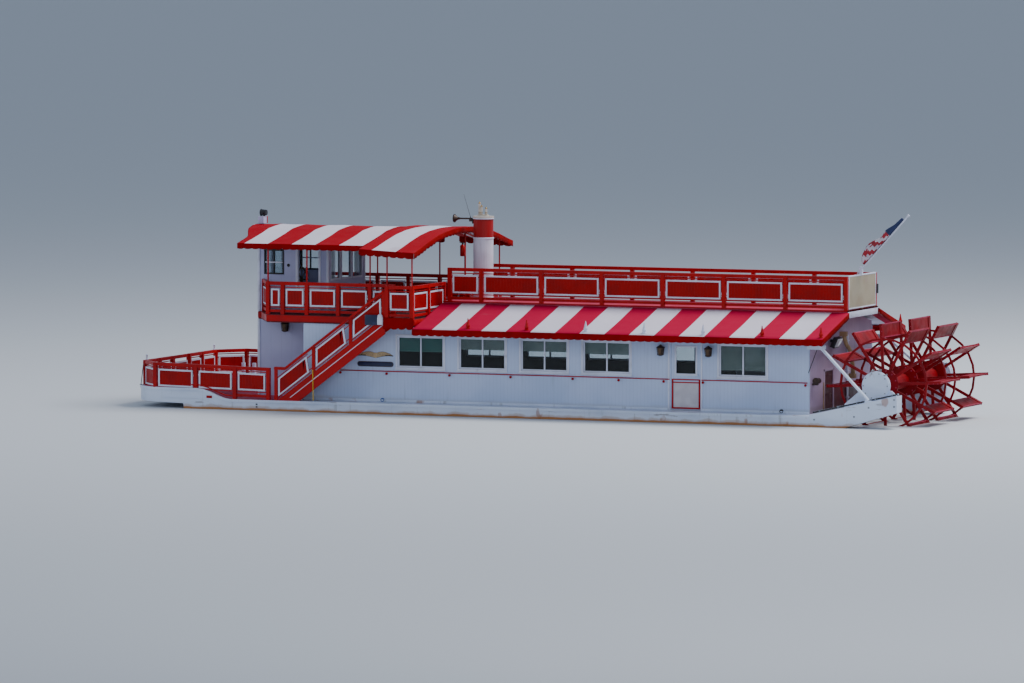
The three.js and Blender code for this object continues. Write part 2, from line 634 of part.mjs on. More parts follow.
// One straight run from point a to point b in plan, with posts at distances along it. Its foot rail starts at a
// distance along it, and is left out where the panels come down to the deck. Its rails may fall along the run.
function railRun(a, b, posts, floor, top, panelLow, panelHigh, footStart = -POST / 2, fall = 0) {
  const dx = b[0] - a[0];
  const dy = b[1] - a[1];
  const length = Math.hypot(dx, dy);
  const turn = new THREE.Matrix4().makeRotationZ(Math.atan2(dy, dx)).setPosition(a[0], a[1], 0);
  const slope = new THREE.Matrix4().set(1, 0, 0, 0, 0, 1, 0, 0, -fall, 0, 1, 0, 0, 0, 0, 1);
  const placed = (u0, u1, v, z0, z1, lie = slope) => {
    const geometry = new THREE.BoxGeometry(u1 - u0, 2 * v, z1 - z0);
    geometry.translate((u0 + u1) / 2, 0, (z0 + z1) / 2).applyMatrix4(lie).applyMatrix4(turn);
    return solid(geometry);
  };
  const parts = [
    placed(-POST / 2, length + POST / 2, RAIL.handHalf, top - RAIL.hand, top),
    placed(0, length, RAIL.battenHalf, panelLow + RAIL.battenInset, panelLow + RAIL.battenInset + RAIL.batten),
    placed(0, length, RAIL.battenHalf, panelHigh - RAIL.battenInset - RAIL.batten, panelHigh - RAIL.battenInset),
  ];
  if (footStart < length) {
    parts.push(placed(footStart, length + POST / 2, RAIL.footHalf, panelLow - RAIL.footLow, panelLow - RAIL.footHigh));
  }
  for (const u of posts) {
    const ground = floor(a[0] + (dx * u) / length, a[1] + (dy * u) / length);
    parts.push(placed(u - POST / 2, u + POST / 2, POST / 2, ground + GAP, top - 10 - fall * u, new THREE.Matrix4()));
  }
  const stations = [...new Set([0, ...posts])].sort((p, q) => p - q);
  for (let k = 1; k < stations.length; k += 1) {
    const side = POST / 2 + RAIL.panelInset;
    parts.push(placed(stations[k - 1] + side, stations[k] - side, RAIL.plateHalf, panelLow, panelHigh));
  }
  return join(parts);
}

const onForeDeck = () => FORE_DECK;
const onAftDeck = () => AFT_DECK;
const FORE_PANEL = [FORE_DECK + 230, FORE_DECK + 690];
const FACET = { start: [FORE_DECK_CORNER, RAIL_LINE], end: [FORE_DECK_CORNER + 600, HOUSE_HALF + 95] };

function buildForeRail() {
  const posts = [FORE_DECK_CORNER - 430, 6400, 5490, 4570, LANDING_FRONT + 40].map((x) => FORE_DECK_CORNER - x);
  const facet = Math.hypot(FACET.end[0] - FACET.start[0], FACET.end[1] - FACET.start[1]);
  return join([
    railRun([FORE_DECK_CORNER, RAIL_LINE], [LANDING_FRONT + 40, RAIL_LINE], [0, ...posts],
      onForeDeck, FORE_RAIL_TOP, ...FORE_PANEL),
    railRun(FACET.start, FACET.end, [facet], onForeDeck, FORE_RAIL_TOP, ...FORE_PANEL),
  ]);
}

// The landing's rail turns in across its after edge, and leaves the way to the aft deck open in the middle.
const LANDING_RETURN = 870;

function buildLandingRail() {
  const outer = LANDING_RAIL_LINE;
  const front = LANDING_FRONT - 55;
  const aft = LANDING_AFT + 50;
  return join([
    railRun([front, outer], [aft, outer], [0, front - aft], onForeDeck, FORE_RAIL_TOP, ...FORE_PANEL),
    railRun([aft, outer], [aft, LANDING_RETURN], [outer - 1975, outer - LANDING_RETURN],
      onForeDeck, FORE_RAIL_TOP, ...FORE_PANEL),
  ]);
}

addPair('fore_rail', buildForeRail(), FINISH.red);
addPair('landing_rail', buildLandingRail(), FINISH.red);

const AFT_RAIL_LINE = AFT_DECK_HALF - 50;
const AFT_RAIL_TOP = AFT_DECK + 890;
const AFT_PANEL = [AFT_DECK + 215, AFT_DECK + 702];
const AFT_RAIL_FRONT = 2820;
const AFT_RAIL_POST = 1910;
const AFT_RAIL_BAY = 1725;
const STERN_BOARD = { x: AFT_DECK_END + 20, low: AFT_DECK + 30, high: AFT_DECK + 900 };

function buildAftRail() {
  const end = AFT_RAIL_POST - 6 * AFT_RAIL_BAY + 35;
  const posts = [0];
  for (let k = 0; k < 6; k += 1) posts.push(AFT_RAIL_FRONT - AFT_RAIL_POST + k * AFT_RAIL_BAY);
  return railRun([AFT_RAIL_FRONT, AFT_RAIL_LINE], [end, AFT_RAIL_LINE], [...posts, AFT_RAIL_FRONT - end], onAftDeck, AFT_RAIL_TOP, ...AFT_PANEL);
}

addPair('aft_rail', buildAftRail(), FINISH.red);

// Board that closes the aft deck, with feet to the deck.
function buildSternBoard() {
  const { x, low, high } = STERN_BOARD;
  const half = AFT_RAIL_LINE - POST / 2 - 12;
  const feet = [half - 60, 0, -half + 60].map((y) => box(x - 20, x + 20, y - 30, y + 30, AFT_DECK + GAP, low + 5));
  return join([box(x - 20, x + 20, -half, half, low, high), ...feet]);
}

add('stern_board', buildSternBoard(), FINISH.beige);

// Bow rail, with the boarding gate in the middle of it.
const BOW_RAIL_LINE = HULL_HALF - 60;
const BOW_RAIL_TOP = DRAFT + 1215;
const BOW_RAIL_FALL = 0.02;
const BOW_PANEL = [BOW_DECK + 30, DRAFT + 1045];
const BOW_CORNER = [10560, BOW_RAIL_LINE];
const BOW_RAIL_END = 7255;
const BOW_FRONT = [11180, 2330];
const GATE_HALF = 500;

function buildBowRail() {
  const floor = (x) => deckHeight(x);
  const corner = Math.hypot(BOW_FRONT[0] - BOW_CORNER[0], BOW_FRONT[1] - BOW_CORNER[1]);
  return join([
    railRun(BOW_CORNER, [BOW_RAIL_END, BOW_RAIL_LINE], [0, 1188, 2330, BOW_CORNER[0] - BOW_RAIL_END],
      floor, BOW_RAIL_TOP, ...BOW_PANEL, 2330, BOW_RAIL_FALL),
    railRun(BOW_CORNER, BOW_FRONT, [corner], floor, BOW_RAIL_TOP, ...BOW_PANEL, Infinity),
    railRun(BOW_FRONT, [BOW_FRONT[0], GATE_HALF + POST / 2], [BOW_FRONT[1] - 1400, BOW_FRONT[1] - GATE_HALF - POST / 2],
      floor, BOW_RAIL_TOP, ...BOW_PANEL, Infinity),
  ]);
}

function buildGate() {
  const x = BOW_FRONT[0];
  const half = GATE_HALF - 50;
  const bars = [[BOW_RAIL_TOP - RAIL.hand, BOW_RAIL_TOP], [BOW_DECK + 30, BOW_DECK + 70]].map(([z0, z1]) =>
    box(x - 20, x + 20, -half, half, z0, z1));
  const stiles = [-half + 20, half - 20].map((y) => box(x - 20, x + 20, y - 20, y + 20, BOW_DECK + 30, BOW_RAIL_TOP - 5));
  return join([...bars, ...stiles, box(x - 12, x + 12, -half, half, BOW_PANEL[0] + 20, BOW_PANEL[1])]);
}

addPair('bow_rail', buildBowRail(), FINISH.red);
add('bow_gate', buildGate(), FINISH.red);

// Outside stairs from the bow deck to each landing.
const STAIR = { foot: 6580, treads: 10, going: 276, inner: 2490, outer: 3100, stringer: 40 };
STAIR.rise = (FORE_DECK - DECK) / (STAIR.treads + 1);
STAIR.slope = STAIR.rise / STAIR.going;

function buildStairs() {
  const { foot, treads, going, inner, outer, stringer, rise, slope } = STAIR;
  const top = LANDING_FRONT + GAP;
  const edge = (x) => DECK + (6350 - x) * slope;
  const board = (low, high) => [
    [6350 + low / slope, DECK], [6350 + high / slope, DECK], [top, edge(top) + high], [top, edge(top) + low],
  ];
  const parts = [
    sideProfile(board(170, 350), inner, inner + stringer), sideProfile(board(0, 470), outer - stringer, outer),
  ];
  for (let k = 1; k <= treads; k += 1) {
    const x = foot - k * going;
    const z = DECK + k * rise;
    parts.push(box(x, x + going + 15, inner + 5, outer - 5, z - 35, z));
  }
  return join(parts).intersect(box(top, 7000, inner, outer, DECK + GAP, FORE_DECK));
}

// Its hand rail starts level at a post that stands on the deck, and then follows the slope.
function buildStairRail() {
  const line = STAIR.outer - STAIR.stringer / 2;
  const foot = 7017;
  const head = LANDING_FRONT + 45;
  const level = DECK + 903;
  const base = (x) => DECK + 345 + (6350 - x) * STAIR.slope;
  const knee = 6350 - (level - base(6350) - 855) / STAIR.slope;
  const top = (x) => Math.max(level, base(x) + 855);
  const half = 45;
  const panel = { low: 215, high: 690 };
  const hand = [foot + half, knee, head].map((x) => [x, top(x)]);
  const strip = (x0, x1, low, high, half, taper = 0) => sideProfile([
    [x0, base(x0) + low], [x0, base(x0) + high], [x1 + taper, base(x1 + taper) + high], [x1, base(x1) + low],
  ], line - half, line + half);
  const parts = [
    sideProfile([...hand, ...hand.map(([x, z]) => [x, z - 80]).reverse()], line - 34, line + 34),
    strip(foot, head, panel.low + 45, panel.low + 70, RAIL.battenHalf),
    strip(foot, head, panel.high - 70, panel.high - 45, RAIL.battenHalf),
    box(foot - half, foot + half, line - 20, line + 20, DECK + GAP, level - 10),
  ];
  const posts = [foot, 5926, 4855, head];
  for (let k = 1; k < posts.length; k += 1) {
    const aft = k < posts.length - 1 ? 85 : 20;
    parts.push(strip(posts[k] - half, posts[k] + half, 0, 820, 20));
    parts.push(strip(posts[k - 1] - half - 30, posts[k] + half + aft, panel.low, panel.high, RAIL.plateHalf, aft * 0.8));
  }
  return join(parts);
}

addPair('stairs', join([buildStairs(), buildStairRail()]), FINISH.red);

// Stack, its cap with the whistle on it, and the horn and whip aerial on a bracket beside it.
add('stack', rod([STACK.x, 0, AFT_DECK + GAP], [STACK.x, 0, STACK.top], STACK.radius, 24), FINISH.white);

function buildStackCap() {
  const z = STACK.top + 45;
  const cap = rod([STACK.x, 0, STACK.top + GAP], [STACK.x, 0, z], STACK.radius + 18, 24);
  const chimes = [
    // along, across, radius, height
    [110, 0, 32, 340], [35, 45, 26, 260], [-70, -20, 30, 205],
  ];
  const pipes = chimes.map(([dx, dy, r, h]) => rod([STACK.x + dx, dy, z + 40], [STACK.x + dx, dy, z + h], r, 10));
  return join([cap, box(STACK.x - 130, STACK.x + 140, -60, 80, z - 5, z + 45), ...pipes]);
}

add('stack_cap', buildStackCap(), FINISH.brass);

function buildHorn() {
  const z = DRAFT + 5080;
  const back = STACK.x + STACK.radius + GAP;
  const profile = [[0, 0], [22, 0], [22, 330], [40, 420], [100, 500], [110, 520], [0, 520]];
  const bell = new THREE.LatheGeometry(profile.map(([r, h]) => new THREE.Vector2(r, h)), 16);
  const trumpet = solid(bell.rotateZ(-Math.PI / 2).translate(back + 50, 0, z));
  const aerial = [back + 80, 60, z - 20];
  return join([
    trumpet,
    box(back, back + 110, -35, 80, z - 75, z - 15),
    box(back, back + 25, -60, 80, z - 130, z + 15),
    rod(aerial, [aerial[0], aerial[1], z + 60], 12, 8),
    rod([aerial[0], aerial[1], z + 50], [aerial[0] + 190, aerial[1], DRAFT + 5730], 6, 6, 3),
  ]);
}

add('horn', buildHorn(), FINISH.brass);

// Searchlight on its box over the pilothouse, on a post that stands on the pilothouse roof.
const LIGHT_BOX = { low: CANOPY_FORE.ridge + 5, high: CANOPY_FORE.ridge + 195 };

function buildLightBox() {
  const { x, radius } = LIGHT_POST;
  return box(x - 80, x + 80, -130, 130, LIGHT_BOX.low, LIGHT_BOX.high)
    .add(rod([x, 0, PILOTHOUSE_TOP + ROOF_SKIN + GAP], [x, 0, LIGHT_BOX.low + 20], radius, 12));
}

function buildSearchlight() {
  const x = LIGHT_POST.x - 40;
  const z = LIGHT_BOX.high + 97;
  return join([
    rod([x, 0, LIGHT_BOX.high + 1], [x, 0, z - 60], 30, 12),
    rod([x - 75, 0, z], [x + 85, 0, z], 76, 16, 88),
  ]);
}

add('light_box', buildLightBox(), FINISH.blush);
add('searchlight', buildSearchlight(), FINISH.dark);

// Ensign on its raked staff at the stern.
const STAFF = { foot: [-8405, 0, AFT_DECK + 1000], head: [-9720, 0, DRAFT + 5380] };

function alongStaff(share) {
  return STAFF.foot.map((value, k) => value + (STAFF.head[k] - value) * share);
}

function buildFlagstaff() {
  const socket = box(STERN_BOARD.x - 20, STERN_BOARD.x + 60, -55, 55, STERN_BOARD.high + GAP, STERN_BOARD.high + 190);
  return join([socket, rod(alongStaff(-0.06), alongStaff(1), 22, 8), rod(alongStaff(0.99), alongStaff(1.02), 34, 8)]);
}

// The flag hangs furled along the upper side of the staff.
const FLAG_OUTLINE = [
  // x, z, from its foot up the outer edge and back down beside the staff
  [-8300, 4910], [-8440, 5340], [-8880, 5700], [-9060, 5955], [-9500, 6035], [-9525, 5955], [-9300, 5708],
  [-8950, 5322], [-8520, 4848],
];

function buildFlag() {
  return sideProfile(FLAG_OUTLINE, -45, 45);
}

add('flagstaff', buildFlagstaff(), FINISH.white);
add('flag', buildFlag(), FINISH.canvas);

// Drive unit on the deck in the after end of the house, with its exhaust through the bulkhead.
add('power_pack', box(-7500, -5950, -650, 450, DECK + GAP, DECK + 950), FINISH.steel);

function buildExhaust() {
  const points = [
    [-7960, 60, 3000], [-7990, -60, 2720], [-8000, -330, 2560], [-8000, -520, 2200], [-7990, -620, 1850],
  ];
  const path = new THREE.CatmullRomCurve3(points.map((p) => new THREE.Vector3(...p)));
  const ring = new THREE.Shape();
  ring.absarc(0, 0, 55, 0, 2 * Math.PI);
  const pipe = solid(new THREE.ExtrudeGeometry(ring, { steps: 8, curveSegments: 8, extrudePath: path }));
  const flanges = [points[0], points[4]].map(([, y, z]) => box(-8050, CABIN_AFT - GAP, y - 75, y + 75, z - 60, z + 60));
  return join([pipe, ...flanges]);
}

add('exhaust_pipe', buildExhaust(), FINISH.tan);

export default boat;
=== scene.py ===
import json
import math

import bmesh
import bpy
from mathutils import Matrix, Vector

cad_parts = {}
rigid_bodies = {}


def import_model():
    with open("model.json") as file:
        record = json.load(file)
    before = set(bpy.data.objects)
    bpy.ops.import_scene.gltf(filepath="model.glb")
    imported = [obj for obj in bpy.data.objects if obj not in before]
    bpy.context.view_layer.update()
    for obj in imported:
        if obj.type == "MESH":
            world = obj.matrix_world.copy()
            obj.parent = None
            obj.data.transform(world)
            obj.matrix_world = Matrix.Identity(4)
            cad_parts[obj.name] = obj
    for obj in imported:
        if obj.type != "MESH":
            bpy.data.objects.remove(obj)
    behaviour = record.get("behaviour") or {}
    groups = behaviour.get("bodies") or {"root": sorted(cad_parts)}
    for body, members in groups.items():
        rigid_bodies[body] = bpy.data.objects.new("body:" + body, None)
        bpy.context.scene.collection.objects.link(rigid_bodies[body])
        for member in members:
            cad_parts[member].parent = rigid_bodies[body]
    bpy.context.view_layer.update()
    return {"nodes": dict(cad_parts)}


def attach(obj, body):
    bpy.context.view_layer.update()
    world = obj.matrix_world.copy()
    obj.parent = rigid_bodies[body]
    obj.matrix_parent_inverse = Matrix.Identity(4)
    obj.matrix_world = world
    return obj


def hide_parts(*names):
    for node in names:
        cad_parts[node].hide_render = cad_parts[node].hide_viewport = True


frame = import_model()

# Camera: abaft the port beam and far away, as the photograph was taken.
VIEW_ABAFT = math.radians(22.0)
VIEW_DOWN = math.radians(3.68)
VIEW_ROLL = math.radians(0.035)
VIEW_DISTANCE = 231.0
PIXELS_PER_METRE = 37.5
TARGET = Vector((-0.15, 0.0, 2.90))
TARGET_PIXEL = (568.6, 330.35)
PICTURE = (1024, 683)
SENSOR = 36.0
CLIP_NEAR, CLIP_FAR = 10.0, 2000.0


def make_camera():
    ahead = Vector((
        math.sin(VIEW_ABAFT) * math.cos(VIEW_DOWN),
        -math.cos(VIEW_ABAFT) * math.cos(VIEW_DOWN),
        -math.sin(VIEW_DOWN),
    ))
    level = ahead.cross(Vector((0, 0, 1))).normalized()
    upright = level.cross(ahead)
    right = level * math.cos(VIEW_ROLL) + upright * math.sin(VIEW_ROLL)
    up = upright * math.cos(VIEW_ROLL) - level * math.sin(VIEW_ROLL)
    aside = (TARGET_PIXEL[0] - PICTURE[0] / 2) / PIXELS_PER_METRE
    above = (TARGET_PIXEL[1] - PICTURE[1] / 2) / PIXELS_PER_METRE
    place = TARGET - ahead * VIEW_DISTANCE - right * aside + up * above
    data = bpy.data.cameras.new("camera")
    data.sensor_width = SENSOR
    data.lens = SENSOR * PIXELS_PER_METRE * VIEW_DISTANCE / PICTURE[0]
    data.clip_start = CLIP_NEAR
    data.clip_end = CLIP_FAR
    camera = bpy.data.objects.new("camera", data)
    bpy.context.scene.collection.objects.link(camera)
    turn = Matrix((right, up, -ahead)).transposed()
    camera.matrix_world = Matrix.Translation(place) @ turn.to_4x4()
    bpy.context.scene.camera = camera


make_camera()


# Places on the boat, in metres. The sides are the port ones, and the starboard side is their mirror image.
WATERLINE = 0.75
HULL_SIDE = 3.10
HOUSE_SIDE = 2.45
# Inside this face the house boarding is painted near black, as painted shade of the saloon.
HOUSE_INNER_FACE = 2.3915
PILOTHOUSE_SIDE = 1.25
RAIL_SIDE = 3.08
BOW_RAIL_SIDE = 3.04
BOW_RAIL_FRONT = 11.18
LANDING_RAIL_AFT = 3.09
SALOON_AFT = -7.87
STACK_MIDDLE = 2.305
HELM_HUB = (7.60, 0, 4.08)


# Finishes. Each one is a base colour with layers over it, and what stands proud of it as bump.
def colour(code):
    """A hex colour as linear RGBA."""
    channels = [int(code[i:i + 2], 16) / 255 for i in (1, 3, 5)]
    return [c / 12.92 if c <= 0.04045 else ((c + 0.055) / 1.055) ** 2.4 for c in channels] + [1.0]


class Finish:
    def __init__(self, name, base, roughness, metallic=0.0, shine=0.5):
        self.material = bpy.data.materials.new(name)
        self.material.use_nodes = True
        self.nodes = self.material.node_tree.nodes
        self.links = self.material.node_tree.links
        self.shader = self.nodes["Principled BSDF"]
        self.shader.inputs["Metallic"].default_value = metallic
        self.shader.inputs["Roughness"].default_value = roughness
        self.shader.inputs["Specular IOR Level"].default_value = shine
        self.shader.inputs["Base Color"].default_value = colour(base)
        self.coordinates = self.nodes.new("ShaderNodeTexCoord").outputs["Object"]
        self.axes = None
        self.paint = None
        self.base = colour(base)

    def feed(self, socket, value):
        if hasattr(value, "is_linked"):
            self.links.new(value, socket)
        else:
            socket.default_value = value

    def math(self, operation, a, b=0.0, clamp=False):
        node = self.nodes.new("ShaderNodeMath")
        node.operation = operation
        node.use_clamp = clamp
        self.feed(node.inputs[0], a)
        self.feed(node.inputs[1], b)
        return node.outputs[0]

    def axis(self, letter):
        if self.axes is None:
            self.axes = self.nodes.new("ShaderNodeSeparateXYZ")
            self.links.new(self.coordinates, self.axes.inputs[0])
        return self.axes.outputs[letter]

    def noise(self, scale, stretch=(1, 1, 1), detail=3.0):
        place = self.nodes.new("ShaderNodeMapping")
        place.inputs["Scale"].default_value = stretch
        self.links.new(self.coordinates, place.inputs["Vector"])
        node = self.nodes.new("ShaderNodeTexNoise")
        node.inputs["Scale"].default_value = scale
        node.inputs["Detail"].default_value = detail
        self.links.new(place.outputs["Vector"], node.inputs["Vector"])
        return node.outputs["Fac"]

    def between(self, value, low, high):
        """0 below low, 1 above high, smooth between them."""
        node = self.nodes.new("ShaderNodeMapRange")
        node.interpolation_type = "SMOOTHSTEP"
        self.feed(node.inputs["Value"], value)
        node.inputs["From Min"].default_value = low
        node.inputs["From Max"].default_value = high
        return node.outputs["Result"]

    def cover(self, share, over, amount=1.0):
        """Lays a colour over the paint so far, by a share from 0 to 1."""
        node = self.nodes.new("ShaderNodeMix")
        node.data_type = "RGBA"
        self.feed(node.inputs[0], share if amount == 1.0 else self.math("MULTIPLY", share, amount))
        self.feed(node.inputs[6], self.base if self.paint is None else self.paint)
        node.inputs[7].default_value = colour(over)
        self.paint = node.outputs[2]
        self.links.new(self.paint, self.shader.inputs["Base Color"])
        return self

    def mottle(self, over, scale, low=0.45, high=0.7, amount=1.0, stretch=(1, 1, 1)):
        return self.cover(self.between(self.noise(scale, stretch), low, high), over, amount)

    def band(self, letter, low, high, over, soft=0.01, ragged=0.0, amount=1.0):
        """A band of colour between two heights, its edges broken by noise."""
        place = self.axis(letter)
        if ragged:
            wander = self.math("SUBTRACT", self.noise(2.2), 0.5)
            place = self.math("ADD", place, self.math("MULTIPLY", wander, ragged))
        inside = self.math("MULTIPLY", self.between(place, low - soft, low + soft),
                           self.math("SUBTRACT", 1.0, self.between(place, high - soft, high + soft)))
        return self.cover(inside, over, amount)

    def inside(self, along, across, up, over):
        """A colour on what lies in a box."""
        share = 1.0
        for letter, (low, high) in zip("XYZ", (along, across, up)):
            place = self.axis(letter)
            for test, edge in (("GREATER_THAN", low), ("LESS_THAN", high)):
                share = self.math("MULTIPLY", share, self.math(test, place, edge))
        return self.cover(share, over)

    def stripes(self, letter, start, width, over):
        """Every other stripe, the first one running down from start."""
        way = self.math("SUBTRACT", start, self.axis(letter))
        turn = self.math("FRACT", self.math("DIVIDE", way, 2 * width))
        return self.cover(self.math("LESS_THAN", turn, 0.5), over)

    def dent(self, height, distance, strength=0.6):
        node = self.nodes.new("ShaderNodeBump")
        node.inputs["Strength"].default_value = strength
        node.inputs["Distance"].default_value = distance
        self.links.new(height, node.inputs["Height"])
        if self.shader.inputs["Normal"].is_linked:
            self.links.new(self.shader.inputs["Normal"].links[0].from_socket, node.inputs["Normal"])
        self.links.new(node.outputs["Normal"], self.shader.inputs["Normal"])
        return self

    def grooves(self, letter, pitch, width, over, depth=0.004, amount=0.5):
        """Board joints across an axis."""
        turn = self.math("FRACT", self.math("DIVIDE", self.axis(letter), pitch))
        away = self.math("ABSOLUTE", self.math("SUBTRACT", turn, 0.5))
        flat = self.between(self.math("SUBTRACT", 0.5, away), 0.0, width / pitch)
        self.cover(self.math("SUBTRACT", 1.0, flat), over, amount)
        return self.dent(flat, depth)

    def grain(self, scale, distance, strength=0.3, stretch=(1, 1, 1)):
        return self.dent(self.noise(scale, stretch, 2.0), distance, strength)

    def worn(self, low, high, scale=3.0):
        """Roughness that wanders between two values."""
        node = self.nodes.new("ShaderNodeMapRange")
        self.links.new(self.noise(scale), node.inputs["Value"])
        node.inputs["From Min"].default_value = 0.3
        node.inputs["From Max"].default_value = 0.7
        node.inputs["To Min"].default_value = low
        node.inputs["To Max"].default_value = high
        self.links.new(node.outputs["Result"], self.shader.inputs["Roughness"])
        return self


THREAD_PITCH = 0.005


def weave(finish):
    """Threads of a coated canvas, crossing."""
    for letter in ("X", "Y"):
        turn = finish.math("MULTIPLY", finish.axis(letter), 2 * math.pi / THREAD_PITCH)
        finish.dent(finish.math("SINE", turn), 0.0006, 0.25)
    return finish


def striped_canvas(name, base, start, width, faded, stained):
    """Canvas with pale stripes across the boat, a little faded and stained."""
    cloth = Finish(name, base, 0.8, shine=0.08).stripes("X", start, width, "#cbc6d2")
    cloth.mottle(faded, 1.3, 0.55, 0.85, 0.22).mottle(stained, 3.1, 0.66, 0.9, 0.22, (0.5, 1.6, 1))
    return weave(cloth.grain(5.0, 0.006, 0.25, (1, 0.3, 1)).worn(0.68, 0.86))


def ensign_cloth(name, base, shade):
    return weave(Finish(name, base, 0.8).mottle(shade, 7.0, 0.4, 0.7, 0.7).worn(0.7, 0.9))


